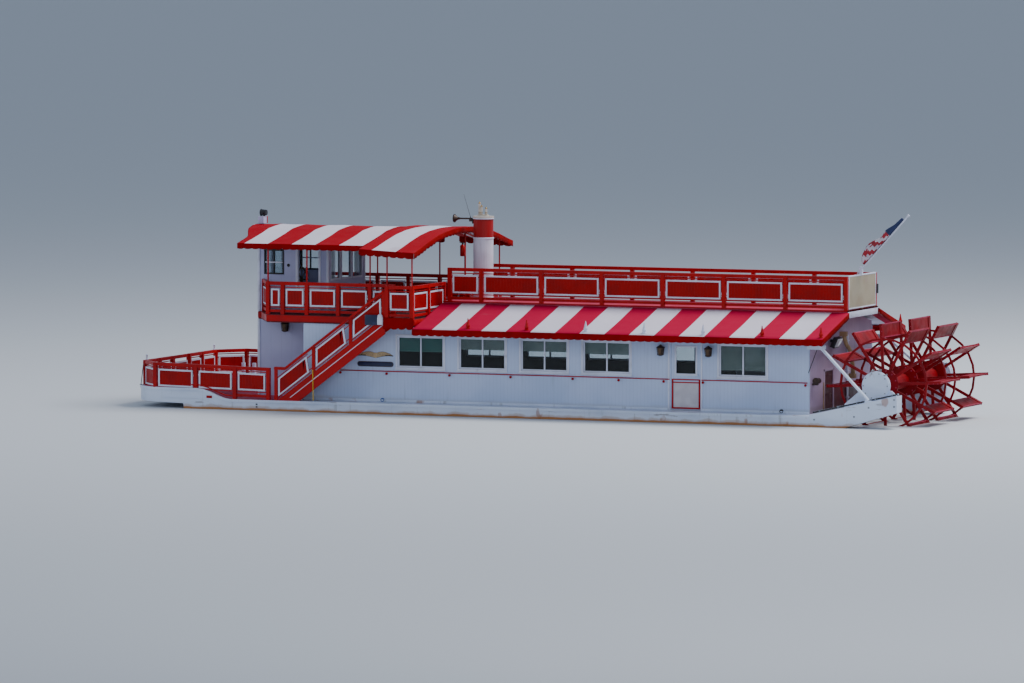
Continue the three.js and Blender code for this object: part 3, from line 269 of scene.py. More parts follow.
FINISHES = {
    # The hull's white is tinted blue, with bluer patches: painted blue shade of the sky on the shaded port
    # side.
    "hull": Finish("hull_white_with_painted_blue_shade", "#cfdaee", 0.4, shine=0.35)
        .mottle("#b0bed6", 0.9, 0.4, 0.75, 0.6, (1, 1, 2.5))
        .mottle("#8e8f90", 1.6, 0.6, 0.78, 0.55, (4.0, 4.0, 0.35))
        .grooves("X", 1.83, 0.012, "#a9adb6", 0.003, 0.25)
        .band("Z", WATERLINE - 0.05, WATERLINE + 0.10, "#a9804e", 0.03, 0.22, 0.45)
        .band("Z", WATERLINE - 0.05, WATERLINE + 0.055, "#a8681c", 0.015, 0.07, 0.9)
        .mottle("#9a6233", 2.6, 0.66, 0.73, 0.6, (1, 1, 0.6))
        .mottle("#6b5140", 4.4, 0.68, 0.74, 0.5, (0.4, 1, 2.2))
        .inside((-7.81, 6.43), (-2.39, 2.39), (1.0, 1.04), "#33241c")
        .band("Z", -1.0, WATERLINE - 0.02, "#5b2f28", 0.01, 0.02)
        .grain(9.0, 0.004, 0.2).worn(0.32, 0.55),
    # The boarding's white is tinted blue, with bluer patches: painted blue shade of the sky.
    "house": Finish("house_boarding_with_painted_shade", "#bccbe8", 0.5, shine=0.3)
        .mottle("#aabbdb", 0.7, 0.35, 0.7, 0.7)
        .mottle("#98a3b8", 2.2, 0.6, 0.8, 0.35, (3.0, 3.0, 0.3))
        .grooves("X", 0.102, 0.010, "#8f9ebc", 0.003, 0.25)
        .band("Z", 1.0, 1.14, "#a9adb4", 0.04, 0.10, 0.4)
        # Everything inside the saloon's inner face is painted near black: painted shade of the dark interior.
        .band("Y", -HOUSE_INNER_FACE, HOUSE_INNER_FACE, "#1a1f29", 0.0008)
        .grain(14.0, 0.002, 0.15).worn(0.42, 0.6),
    # The white is painted pinkish, with pinker patches: painted pink light bounced from the red decks onto the
    # shaded after wall.
    "bulkhead": Finish("bulkhead_white_with_painted_pink_shade", "#b9a2bc", 0.5, shine=0.3)
        .mottle("#a58cab", 0.9, 0.35, 0.7, 0.7)
        .mottle("#857387", 2.0, 0.6, 0.8, 0.4, (3.0, 3.0, 0.3))
        .grooves("Y", 0.204, 0.012, "#a1929d", 0.004, 0.4)
        .band("Z", 1.0, 1.2, "#8f7f78", 0.05, 0.15, 0.4)
        .grain(14.0, 0.002, 0.15).worn(0.45, 0.62),
    # The white is tinted lilac-blue, with bluer patches: painted blue shade on the shaded walls.
    "pilothouse": Finish("pilothouse_paint_with_painted_blue_shade", "#b9bcdc", 0.5, shine=0.3)
        .mottle("#a8abd0", 1.1, 0.35, 0.7, 0.7)
        .mottle("#868aa8", 2.4, 0.62, 0.82, 0.4, (3.0, 3.0, 0.3))
        .grooves("X", 0.306, 0.01, "#9497b8", 0.003, 0.3)
        .grain(14.0, 0.002, 0.15).worn(0.42, 0.6),
    "trim": Finish("trim_white_paint", "#d3d8ea", 0.42, shine=0.35)
        .mottle("#bcc0ce", 2.4, 0.4, 0.75, 0.6)
        .mottle("#8d8b8c", 6.0, 0.66, 0.8, 0.4, (1, 1, 0.4))
        .grain(30.0, 0.001, 0.15).worn(0.36, 0.55, 6.0),
    "red": Finish("red_gloss_paint", "#aa0309", 0.4, shine=0.22)
        .mottle("#8a0206", 1.8, 0.4, 0.7, 0.6)
        .mottle("#b41c22", 9.0, 0.66, 0.8, 0.35)
        .mottle("#5c0a0c", 3.2, 0.62, 0.8, 0.4, (2, 2, 0.4))
        .grain(28.0, 0.001, 0.2).worn(0.28, 0.5, 4.0),
    "slats": Finish("red_slat_paint", "#9c0206", 0.5, shine=0.18)
        .mottle("#7e0204", 2.6, 0.4, 0.72, 0.6)
        .mottle("#98141a", 7.0, 0.66, 0.8, 0.35)
        .grain(34.0, 0.001, 0.2, (1, 1, 0.2)).worn(0.38, 0.58, 4.0),
    "wheel": Finish("wheel_red_paint", "#8c0210", 0.5, shine=0.2)
        .mottle("#66020c", 2.2, 0.4, 0.7, 0.7)
        .mottle("#9c1428", 5.0, 0.62, 0.8, 0.3)
        .mottle("#4b1416", 3.4, 0.62, 0.8, 0.5)
        .grain(22.0, 0.002, 0.3).worn(0.3, 0.6, 4.0),
    # Paler, pinker red on the board edges and bolts: partly faded paint, partly painted highlight where the
    # wet edges catch the light.
    "board_edge": Finish("faded_board_edge_with_painted_highlight", "#b23a58", 0.6, shine=0.25)
        .mottle("#8e1f3a", 6.0, 0.4, 0.7, 0.7).mottle("#6e3a3a", 14.0, 0.62, 0.8, 0.5)
        .grain(40.0, 0.001, 0.3).worn(0.5, 0.7, 6.0),
    # The deck's red is darkened to black-red: painted shade under the rails and the deck's edge.
    "deck": Finish("deck_red_with_painted_shade", "#6a1c22", 0.7, shine=0.25)
        .mottle("#551a1e", 1.4, 0.4, 0.7, 0.7).mottle("#8d5052", 2.6, 0.64, 0.8, 0.4)
        .grooves("Y", 0.145, 0.008, "#5c2a2c", 0.003, 0.5)
        .grain(60.0, 0.001, 0.4).worn(0.55, 0.8),
    "deck_edge": Finish("deck_edge_pink", "#b8304e", 0.55, shine=0.25)
        .mottle("#9a2440", 1.6, 0.4, 0.7, 0.7).mottle("#cf7288", 4.0, 0.64, 0.8, 0.4)
        .grain(30.0, 0.001, 0.2).worn(0.45, 0.62),
    "awning_cloth": striped_canvas("awning_striped_canvas", "#aa0a38", 2.441, 0.698, "#8c0628", "#94707c"),
    "canopy_cloth": striped_canvas("canopy_striped_canvas", "#9a0318", 8.19, 0.687, "#800214", "#906c78"),
    "valance": weave(Finish("valance_red_canvas", "#8c0206", 0.78, shine=0.08)
        .mottle("#6e0205", 2.4, 0.4, 0.7, 0.6).mottle("#9c161c", 6.0, 0.64, 0.84, 0.3)
        .grain(9.0, 0.003, 0.3, (1, 1, 0.3)).worn(0.68, 0.86)),
    "stack": Finish("stack_paint", "#d6d6e4", 0.45, shine=0.3)
        .mottle("#bdbbc8", 2.0, 0.4, 0.75, 0.6).mottle("#8d8a94", 3.0, 0.62, 0.8, 0.4, (3, 3, 0.3))
        .band("Z", 5.33, 9.0, "#98040a", 0.006)
        .band("Z", 5.80, 9.0, "#4a1c1c", 0.05, 0.1, 0.55)
        .grain(20.0, 0.002, 0.2).worn(0.38, 0.58),
    "brass": Finish("weathered_brass", "#a98542", 0.35, 0.85)
        .mottle("#6d5a34", 9.0, 0.4, 0.7, 0.7).mottle("#d6bd82", 22.0, 0.62, 0.8, 0.5)
        .grain(50.0, 0.001, 0.3).worn(0.28, 0.5, 8.0),
    "bronze": Finish("dull_bronze", "#5f4a37", 0.45, 0.6)
        .mottle("#3f3025", 9.0, 0.4, 0.7, 0.7).mottle("#86694b", 18.0, 0.64, 0.8, 0.4)
        .grain(50.0, 0.001, 0.3).worn(0.35, 0.55, 8.0),
    "navy": Finish("navy_sign_paint", "#141d40", 0.4)
        .mottle("#25315c", 7.0, 0.45, 0.75, 0.6).grain(30.0, 0.001, 0.2).worn(0.3, 0.5, 6.0),
    "dark": Finish("satin_black", "#1d1d21", 0.45, 0.1)
        .mottle("#33343a", 8.0, 0.45, 0.75, 0.7).mottle("#5b4a40", 15.0, 0.66, 0.8, 0.4)
        .grain(45.0, 0.001, 0.3).worn(0.35, 0.6, 8.0),
    "steel": Finish("machine_grey", "#878d95", 0.4, 0.4)
        .mottle("#6c7178", 6.0, 0.4, 0.7, 0.7).mottle("#7b5b46", 12.0, 0.66, 0.8, 0.5)
        .grain(40.0, 0.001, 0.3).worn(0.32, 0.55, 7.0),
    "tan": Finish("tan_rubber", "#a98e6b", 0.65)
        .mottle("#8b7354", 6.0, 0.4, 0.7, 0.7).mottle("#c9b292", 14.0, 0.62, 0.8, 0.4)
        .grain(60.0, 0.001, 0.4).worn(0.55, 0.75, 6.0),
    "beige": Finish("beige_board", "#a89d86", 0.55, shine=0.3)
        .mottle("#9a8a74", 1.8, 0.4, 0.7, 0.7).mottle("#a8848e", 2.6, 0.58, 0.8, 0.45)
        .grain(24.0, 0.001, 0.2).worn(0.48, 0.66),
    "yellow": Finish("yellow_paint", "#c9a414", 0.4)
        .mottle("#9b7a10", 9.0, 0.45, 0.72, 0.6).grain(30.0, 0.001, 0.2).worn(0.35, 0.5, 8.0),
    "blind": Finish("blind_grey_green", "#b7c2b8", 0.7)
        .mottle("#a3b2a8", 4.0, 0.4, 0.7, 0.6)
        .inside((2.2, 4.0), (-3, 3), (1.9, 2.9), "#6fb0a4")
        .grooves("Z", 0.03, 0.006, "#7c8c82", 0.003, 0.35).worn(0.6, 0.8),
    "blue": Finish("blue_plastic", "#2c57a0", 0.4)
        .mottle("#1f3f78", 12.0, 0.4, 0.7, 0.6).grain(40.0, 0.001, 0.2).worn(0.3, 0.5, 8.0),
    "ensign_red": ensign_cloth("ensign_red_cloth", "#a32534", "#7c1926"),
    "ensign_white": ensign_cloth("ensign_white_cloth", "#c9c5d0", "#9a97a8"),
    "ensign_blue": ensign_cloth("ensign_blue_cloth", "#26345f", "#1a2547"),
    "maroon": Finish("maroon_paint", "#4d121f", 0.45)
        .mottle("#38101a", 4.0, 0.4, 0.7, 0.7).mottle("#6e3038", 9.0, 0.66, 0.8, 0.4)
        .grain(40.0, 0.001, 0.2).worn(0.36, 0.55, 6.0),
    "lamp_brown": Finish("lamp_brown_metal", "#33241f", 0.45, 0.3)
        .mottle("#4d3a2e", 9.0, 0.42, 0.7, 0.7).mottle("#7a6248", 18.0, 0.66, 0.8, 0.4)
        .grain(50.0, 0.001, 0.3).worn(0.35, 0.58, 8.0),
    "whistle": Finish("pale_metal", "#c9c0b4", 0.42, 0.2)
        .mottle("#a99f92", 9.0, 0.42, 0.7, 0.6).mottle("#e0dad0", 18.0, 0.64, 0.8, 0.5)
        .grain(50.0, 0.001, 0.2).worn(0.32, 0.5, 8.0),
    "feather": Finish("pale_gold_paint", "#cdb48c", 0.5, 0.1)
        .mottle("#a88a5e", 14.0, 0.42, 0.7, 0.6).grain(40.0, 0.001, 0.3).worn(0.4, 0.58, 9.0),
    "cover": Finish("bow_deck_covering", "#b8405e", 0.75, shine=0.2)
        .mottle("#9c2f4b", 1.7, 0.4, 0.7, 0.7).mottle("#cc7890", 4.0, 0.64, 0.8, 0.4)
        .grain(60.0, 0.001, 0.4).worn(0.6, 0.82),
    "glass": Finish("window_glass", "#d0dadf", 0.02)
        .mottle("#c2ced4", 2.0, 0.4, 0.7, 0.6).worn(0.012, 0.04, 2.0),
    "door_panel": Finish("door_panel_paint", "#c9c6cd", 0.5, shine=0.3)
        .mottle("#b2adb6", 3.0, 0.4, 0.7, 0.6).mottle("#8f8a92", 7.0, 0.66, 0.8, 0.35, (3, 1, 0.4))
        .grain(24.0, 0.001, 0.2).worn(0.42, 0.6),
    "lens": Finish("lamp_glass", "#c9d2d6", 0.12).mottle("#aab4ba", 10.0, 0.4, 0.7, 0.5).worn(0.08, 0.2, 9.0),
}
FINISHES["glass"].shader.inputs["Transmission Weight"].default_value = 1.0
FINISHES["glass"].shader.inputs["IOR"].default_value = 1.3


def pair(name):
    return [name + "_port", name + "_starboard"]


NODE_FINISHES = {
    "hull": ["hull", *pair("wheel_beam"), *pair("drive_housing")],
    "house": [*pair("cabin_side"), *pair("cabin_door")],
    "bulkhead": ["cabin_aft", "cabin_front"],
    "pilothouse": [
        *pair("fore_house_side"), *pair("pilothouse_side"), "pilothouse_aft", "pilothouse_front", "light_box"],
    "trim": [
        "fore_house_front", "fore_house_door", "cabin_roof", "pilothouse_roof", *pair("pilothouse_door"),
        "flagstaff"],
    "red": [
        "canopy_frame_fore", "canopy_frame_aft", *pair("awning_frame"), *pair("fore_rail"),
        *pair("landing_rail"), *pair("aft_rail"), *pair("bow_rail"), "bow_gate", *pair("stairs")],
    "wheel": ["wheel_shaft", *pair("wheel_section")],
    "deck": ["fore_deck"],
    "deck_edge": ["aft_deck"],
    "stack": ["stack"],
    "whistle": ["stack_cap"],
    "lamp_brown": ["horn"],
    "dark": [*pair("rudder"), "searchlight"],
    "steel": ["power_pack"],
    "tan": ["exhaust_pipe"],
    "maroon": ["stern_hatch"],
    "beige": ["stern_board"],
}
for finish, names in NODE_FINISHES.items():
    for name in names:
        slots = frame["nodes"][name].data.materials
        slots.clear()
        slots.append(FINISHES[finish].material)


# Making. A piece's mesh is made in edit mode, in place, and its object stays at the origin.
AXES = {"X": (1, 0, 0), "Y": (0, 1, 0), "Z": (0, 0, 1)}
MERGE = 0.0003
SHARP = math.radians(50)


def start(name):
    bpy.ops.object.select_all(action="DESELECT")
    piece = bpy.data.objects.new(name, bpy.data.meshes.new(name))
    bpy.context.scene.collection.objects.link(piece)
    bpy.context.view_layer.objects.active = piece
    piece.select_set(True)
    bpy.ops.object.mode_set(mode="EDIT")
    return piece


def bar(x0, x1, y0, y1, z0, z1, turn=(0, 0, 0)):
    middle = ((x0 + x1) / 2, (y0 + y1) / 2, (z0 + z1) / 2)
    lengths = (x1 - x0, y1 - y0, z1 - z0)
    bpy.ops.mesh.primitive_cube_add(size=1, location=middle, scale=lengths, rotation=turn)


def round_bar(a, b, radius, sides=14):
    """A round bar from a to b, with flat ends."""
    along = Vector(b) - Vector(a)
    bpy.ops.mesh.primitive_cylinder_add(
        vertices=sides, radius=radius, depth=along.length, location=(Vector(a) + Vector(b)) / 2,
        rotation=along.to_track_quat("Z", "Y").to_euler())


def ball(centre, radius, squash=(1, 1, 1), rings=10):
    bpy.ops.mesh.primitive_uv_sphere_add(
        segments=2 * rings, ring_count=rings, radius=radius, location=centre, scale=squash)


def unselected_mesh():
    """The mesh being made, with nothing in it selected."""
    mesh = bmesh.from_edit_mesh(bpy.context.edit_object.data)
    for geometry in (mesh.verts, mesh.edges, mesh.faces):
        for part in geometry:
            part.select_set(False)
    return mesh


def turned(profile, centre, axis="Z", sides=20):
    """A turned shape: profile is (radius, height) from end to end, spun about an axis through centre."""
    mesh = unselected_mesh()
    place = {
        "X": lambda r, h: Vector((h, r, 0)),
        "Y": lambda r, h: Vector((r, h, 0)),
        "Z": lambda r, h: Vector((r, 0, h)),
    }[axis]
    line = [mesh.verts.new(Vector(centre) + place(max(r, 0.0001), h)) for r, h in profile]
    for a, b in zip(line, line[1:]):
        mesh.edges.new((a, b)).select_set(True)
    bmesh.update_edit_mesh(bpy.context.edit_object.data)
    bpy.ops.mesh.spin(steps=sides, angle=2 * math.pi, center=centre, axis=AXES[axis])
    bpy.ops.mesh.select_all(action="SELECT")
    bpy.ops.mesh.remove_doubles(threshold=MERGE)
    bpy.ops.mesh.normals_make_consistent(inside=False)


def plate(outline, axis, low, high):
    """A flat plate, its outline in the plane across axis, that runs from low to high along the axis."""
    mesh = unselected_mesh()
    place = {
        "X": lambda a, b: (low, a, b),
        "Y": lambda a, b: (a, low, b),
        "Z": lambda a, b: (a, b, low),
    }[axis]
    face = mesh.faces.new([mesh.verts.new(place(a, b)) for a, b in outline])
    face.select_set(True)
    bmesh.update_edit_mesh(bpy.context.edit_object.data)
    shift = [(high - low) * share for share in AXES[axis]]
    bpy.ops.mesh.extrude_region_move(TRANSFORM_OT_translate={"value": shift})
    bpy.ops.mesh.select_linked()
    bpy.ops.mesh.normals_make_consistent(inside=False)


def soften(width, segments=2):
    """Rounds every sharp edge of what has been made so far."""
    bpy.ops.mesh.select_all(action="DESELECT")
    bpy.ops.mesh.edges_select_sharp(sharpness=SHARP)
    bpy.ops.mesh.bevel(offset=width, segments=segments, affect="EDGES", clamp_overlap=True)


def done(piece, finish, body="boat", both_sides=False, smooth=40):
    """Leaves edit mode, and gives the piece its finish, its body and, if asked, its other side."""
    bpy.ops.object.mode_set(mode="OBJECT")
    if both_sides:
        twin = piece.modifiers.new("twin", "MIRROR")
        twin.use_axis = (False, True, False)
        twin.use_mirror_merge = False
        bpy.ops.object.modifier_apply(modifier=twin.name)
    if smooth:
        bpy.ops.object.shade_smooth_by_angle(angle=math.radians(smooth))
    piece.data.materials.append(FINISHES[finish].material)
    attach(piece, body)
    return piece


def twin_on(piece, name, body):
    """The same piece on the starboard side, riding on another body."""
    bpy.ops.object.select_all(action="DESELECT")
    twin = piece.copy()
    twin.data = piece.data.copy()
    twin.name = twin.data.name = name
    twin.parent = None
    twin.matrix_world = Matrix.Identity(4)
    bpy.context.scene.collection.objects.link(twin)
    twin.data.transform(Matrix.Scale(-1, 4, (0, 1, 0)))
    twin.data.flip_normals()
    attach(twin, body)
    return twin


def bars(name, finish, rows, body="boat", both_sides=False, bevel=0.004):
    piece = start(name)
    for row in rows:
        bar(*row)
    if bevel:
        soften(bevel)
    return done(piece, finish, body, both_sides, smooth=0 if finish == "glass" else 40)


def turned_piece(name, finish, profile, places, axis="Z", sides=20, body="boat", both_sides=False):
    """One turned shape at each of its places."""
    piece = start(name)
    for place in places:
        turned(profile, place, axis, sides)
    return done(piece, finish, body, both_sides)


def swept(name, finish, path, section):
    """A moulding along a path in plan, on both sides of the boat. The section's points are (out, height), and
    out is to the left of the way it runs."""
    piece = start(name)
    mesh = bmesh.from_edit_mesh(piece.data)
    points = [Vector(p) for p in path]
    ways = [(b - a).to_2d().normalized() for a, b in zip(points, points[1:])]
    rows = []
    for k, point in enumerate(points):
        normals = [Vector((-way.y, way.x)) for way in ways[max(k - 1, 0):k + 1]]
        out = sum(normals, Vector((0, 0))).normalized()
        out = out / max(out.dot(normals[0]), 0.3)
        rows.append([
            mesh.verts.new((point.x + out.x * o, point.y + out.y * o, point.z + h)) for o, h in section])
    for row, following in zip(rows, rows[1:]):
        for k in range(len(section)):
            j = (k + 1) % len(section)
            mesh.faces.new((row[k], row[j], following[j], following[k]))
    mesh.faces.new(rows[0])
    mesh.faces.new(rows[-1][::-1])
    bmesh.update_edit_mesh(piece.data)
    bpy.ops.mesh.select_all(action="SELECT")
    bpy.ops.mesh.normals_make_consistent(inside=False)
    return done(piece, finish, both_sides=True)


def on_side(y0, y1, rows):
    """Bars on a side wall: each row is two places along the boat and two heights."""
    return [(a, b, y0, y1, foot, top) for a, b, foot, top in rows]


def on_end(x0, x1, rows):
    """Bars on a cross wall: each row is two places across the boat and two heights."""
    return [(x0, x1, a, b, foot, top) for a, b, foot, top in rows]


def edges(u0, u1, z0, z1, width, lap=0.0):
    """The sill, the head and the two sides of a frame. The sides reach into sill and head by lap."""
    foot, top = z0 + width - lap, z1 - width + lap
    level = [(u0, u1, z0, z0 + width), (u0, u1, z1 - width, z1)]
    return level + [(u0, u0 + width, foot, top), (u1 - width, u1, foot, top)]


def ring(inner, outer, crown, half, shoulder):
    """A ring's section: flat inside, and out to its crown half way up."""
    return [(inner, -half), (outer, -shoulder), (crown, 0.0), (outer, shoulder), (inner, half), (inner, -half)]


def arc(x, y, wide, deep, turn, steps):
    """Points round x, y through an angle, the first one straight above it."""
    angles = [turn * k / steps for k in range(steps + 1)]
    return [(x + wide * math.sin(a), y + deep * math.cos(a)) for a in angles]


def skin(line, low, high):
    """The outline of a thin sheet that follows a line, from low to high over it."""
    return [(x, z + low) for x, z in line] + [(x, z + high) for x, z in reversed(line)]


# Rails: white frames with red slats in each bay, over the panels between the posts.
FRAME_WIDTH = 0.042
SLAT_PITCH = 0.085
SLAT_SHARE = (0.07, 0.93)
PANEL_HALF_THICK = {"frame": 0.021, "slat": 0.0165, "strip": 0.013}
STRIP_REACH, STRIP_DEEP = 0.04, 0.026
STRIP_BELOW, STRIP_ABOVE = 0.045, 0.03
PANEL_INSET = 0.092


def bay(a, b, low, high, rise, kind, taper=0.0):
    """One bay between two posts: its frame, its slats, or the thin rails above and below it. The heights
    climb by rise from a to b, and the frame's end at b leans back by taper at its top."""
    a, b = Vector(a), Vector(b)
    length = (b - a).length
    way = (b - a) / length
    side = Vector((-way.y, way.x))
    w = FRAME_WIDTH
    count = max(round((length - 2 * w) / SLAT_PITCH), 1)
    pitch = (length - 2 * w) / count
    thick = PANEL_HALF_THICK[kind]
    slats = [[w + pitch * (k + share) for share in SLAT_SHARE] for k in range(count)]
    strips = (low - STRIP_BELOW, high + STRIP_ABOVE)
    rows = {
        "frame": edges(0, length, low, high, w),
        "slat": [(u0, u1, low + w, high - w) for u0, u1 in slats],
        "strip": [(-STRIP_REACH, length + STRIP_REACH, z, z + STRIP_DEEP) for z in strips],
    }[kind]
    for u0, u1, z0, z1 in rows:
        bar(u0, u1, -thick, thick, z0, z1)
    mesh = bmesh.from_edit_mesh(bpy.context.edit_object.data)
    mesh.verts.ensure_lookup_table()
    for vertex in mesh.verts[-8 * len(rows):]:
        u, v, z = vertex.co
        if u > length - w - pitch:
            u -= taper * (z - low) / (high - low)
        place = a + way * u + side * v
        vertex.co = (place.x, place.y, z + rise * u / length)
    bmesh.update_edit_mesh(bpy.context.edit_object.data)


AFT_POSTS = (2.82, 1.91, 0.185, -1.54, -3.265, -4.99, -6.715, -8.405)
FORE_POSTS = (7.53, 7.10, 6.40, 5.49, 4.57, 3.90)
BOW_POSTS = (10.56, 9.372, 8.23, 7.255)
RAILS = [
    # name, low edge, high edge, fall for each metre along a run, runs of post centres in plan
    ("aft_rail", 3.895, 4.382, 0, [[(x, 1.11) for x in AFT_POSTS]]),
    ("fore_rail", 3.52, 3.98, 0, [[(x, 2.425) for x in FORE_POSTS], [(7.53, 2.425), (8.13, 1.345)]]),
    ("landing_rail", 3.52, 3.98, 0, [
        [(3.805, RAIL_SIDE), (LANDING_RAIL_AFT, RAIL_SIDE)],
        [(LANDING_RAIL_AFT, y) for y in (RAIL_SIDE, 1.975, 0.87)]]),
    ("bow_side_rail", 1.33, 1.795, 0.02, [[(x, BOW_RAIL_SIDE) for x in BOW_POSTS]]),
    ("bow_front_rail", 1.33, 1.795, 0, [
        [(10.56, BOW_RAIL_SIDE), (BOW_RAIL_FRONT, 2.33)],
        [(BOW_RAIL_FRONT, y) for y in (2.33, 1.40, 0.55)]]),
]
STAIR_FOOT, STAIR_SLOPE = 6.35, 0.7444
STAIR_PANEL = (0.215, 0.69)
# fore end, after end at the foot, how far that end leans forward at its top
STAIR_BAYS = [(6.942, 6.056, 0.068), (5.851, 4.985, 0.068), (4.78, 3.97, 0.016)]


def stair_line(x):
    return 1.375 + (STAIR_FOOT - x) * STAIR_SLOPE


def make_rail_panels():
    for kind, finish in (("frame", "trim"), ("slat", "slats"), ("strip", "red")):
        for name, low, high, fall, runs in RAILS:
            piece = start(f"{name}_{kind}s")
            for run in runs:
                for p, q in zip(run, run[1:]):
                    p, q, first = Vector(p), Vector(q), Vector(run[0])
                    way = (q - p).normalized() * PANEL_INSET
                    drop = fall * (p + way - first).length
                    bay(p + way, q - way, low - drop, high - drop, -fall * (q - p - 2 * way).length, kind)
            done(piece, finish, both_sides=True, smooth=0)
        piece = start(f"stair_rail_{kind}s")
        for x0, x1, lean in STAIR_BAYS:
            low, high = [stair_line(x0) + lift for lift in STAIR_PANEL]
            bay((x0, RAIL_SIDE), (x1, RAIL_SIDE), low, high, stair_line(x1) - stair_line(x0), kind, lean)
        done(piece, finish, both_sides=True, smooth=0)
        if kind != "strip":
            piece = start(f"gate_{kind}s")
            bay((BOW_RAIL_FRONT, 0.40), (BOW_RAIL_FRONT, -0.40), 1.352, 1.793, 0, kind)
            done(piece, finish, body="bow_gate_body", smooth=0)


make_rail_panels()


# The hull's upper edge climbs to the bow deck in a soft S.
DECK_EDGE, RAMP_FOOT, RAMP_RUN, RAMP_RISE = 1.03, 8.35, 0.95, 0.27
BOW_DECK = DECK_EDGE + RAMP_RISE
RAMP_STATIONS = [RAMP_FOOT + RAMP_RUN * share for share in (0, 0.2, 0.35, 0.5, 0.65, 0.8, 1.0)]
CORNER_STEPS = 6


def edge_height(x):
    share = min(max((x - RAMP_FOOT) / RAMP_RUN, 0), 1)
    return DECK_EDGE + RAMP_RISE * share * share * (3 - 2 * share)


HALF_ROUND = [
    (0.0, -0.08), (0.026, -0.074), (0.042, -0.045), (0.048, 0.0), (0.042, 0.045), (0.026, 0.074), (0.0, 0.08),
    (-0.03, 0.08), (-0.03, -0.08)]
LIP = [
    (0.0, -0.035), (0.022, -0.03), (0.03, 0.0), (0.022, 0.03), (0.0, 0.035), (-0.02, 0.035), (-0.02, -0.035)]


def make_deck_mouldings():
    edge = [(4.0, 2.48, 3.195), (7.53, 2.48, 3.195), (8.23, 1.25, 3.195), (8.33, 1.25, 3.195)]
    swept("fore_deck_fascia", "red", edge[::-1], HALF_ROUND)
    swept("landing_aft_fascia", "red", [(3.04, 1.2, 3.20), (3.04, 3.13, 3.20)], HALF_ROUND)
    lip = [(-8.46, 2.99, 1.155, 1.178, 3.652, 3.684), (-8.482, -8.455, -1.178, 1.178, 3.652, 3.684)]
    bars("aft_deck_lip", "red", lip, both_sides=True)
    bars("stern_fascia", "trim", [(-8.484, -8.46, -1.15, 1.15, 3.48, 3.64)])
    board = edges(-1.052, 1.052, 3.705, 4.585, 0.035)
    bars("stern_board_frame", "trim", on_end(-8.466, -8.412, board))


def make_hull_mouldings():
    corner = arc(10.32, HULL_SIDE - 1, 1, 1, math.pi / 2, CORNER_STEPS)
    edge = [(x, HULL_SIDE, edge_height(x)) for x in (-8.1, 6.4, *RAMP_STATIONS)]
    edge += [(x, y, BOW_DECK) for x, y in corner]
    swept("hull_edge_moulding", "hull", [(x, y, z - 0.03) for x, y, z in edge[::-1]], LIP)
    knee = [(x, y, z - 0.25) for x, y, z in edge[:-CORNER_STEPS]]
    swept("hull_rubbing_strake", "hull", knee[::-1], [(out * 0.8, height * 0.6) for out, height in LIP])
    foot = [(x, 3.055, edge_height(x) + 0.09) for x in [8.0 + 0.25 * k for k in range(7)]]
    square = [(0.014, -0.018), (0.014, 0.018), (-0.014, 0.018), (-0.014, -0.018)]
    swept("bow_rail_foot", "red", foot[::-1], square)


def make_bow_deck_cover():
    line = [(x, edge_height(x)) for x in (6.55, *RAMP_STATIONS, 9.6)]
    piece = start("bow_deck_cover_side")
    plate(skin(line, 0.001, 0.004), "Y", 1.27, 3.02)
    done(piece, "cover", both_sides=True)
    piece = start("bow_deck_cover_middle")
    plate(skin(line[1:], 0.001, 0.004), "Y", -1.26, 1.26)
    port = [(9.62, 3.02), *arc(10.30, 2.09, 0.93, 0.93, math.pi / 2, CORNER_STEPS)]
    plate(port + [(x, -y) for x, y in reversed(port)], "Z", BOW_DECK + 0.001, BOW_DECK + 0.004)
    done(piece, "cover")


def make_grab_stripe():
    stripe = on_side(HOUSE_SIDE, 2.478, [(-7.83, -4.87, 1.838, 1.864), (-3.98, 5.42, 1.838, 1.864)])
    bars("grab_stripe", "red", stripe, both_sides=True, bevel=0.008)
    knob = [(0, 0), (0.016, 0), (0.016, 0.045), (0.034, 0.05), (0.034, 0.075), (0.02, 0.086), (0, 0.088)]
    places = [(x, HOUSE_SIDE, 1.79) for x in (5.396, 4.06, 2.255, 0.507, -1.26, -2.56, -3.83, -4.93, -7.79)]
    turned_piece("grab_stripe_knobs", "slats", knob, places, "Y", 14, both_sides=True)


make_deck_mouldings()
make_hull_mouldings()
make_bow_deck_cover()
make_grab_stripe()


# Side windows: a frame, two panes and a blind each.
# middle of the window, how far its blind is down
WINDOWS = [(3.105, 0.36), (1.337, 0.26), (-0.431, 0.28), (-2.199, 0.29), (-6.025, 0.63)]
SILL, HEAD, HALF = 1.965, 2.80, 0.665
SURROUND, SURROUND_LAP = 0.05, 0.004
SASH_GAP, SASH_LAP, SASH_WIDTH = 0.002, 0.02, 0.04
SLAT_FALL, SLAT_TURN = 0.03, math.radians(50)


def blind_rows(x0, x1, drop):
    """The blind's slats, its foot rail and its head rail."""
    rows = []
    z = HEAD - 0.02
    while z > HEAD - drop:
        rows.append((x0 + 0.02, x1 - 0.02, 2.352, 2.384, z - 0.030, z - 0.022, (SLAT_TURN, 0, 0)))
        z -= SLAT_FALL
    rows.append((x0 + 0.02, x1 - 0.02, 2.356, 2.378, z - 0.03, z - 0.008))
    rows.append((x0 + 0.01, x1 - 0.01, 2.35, 2.386, HEAD - 0.03, HEAD - 0.002))
    return rows


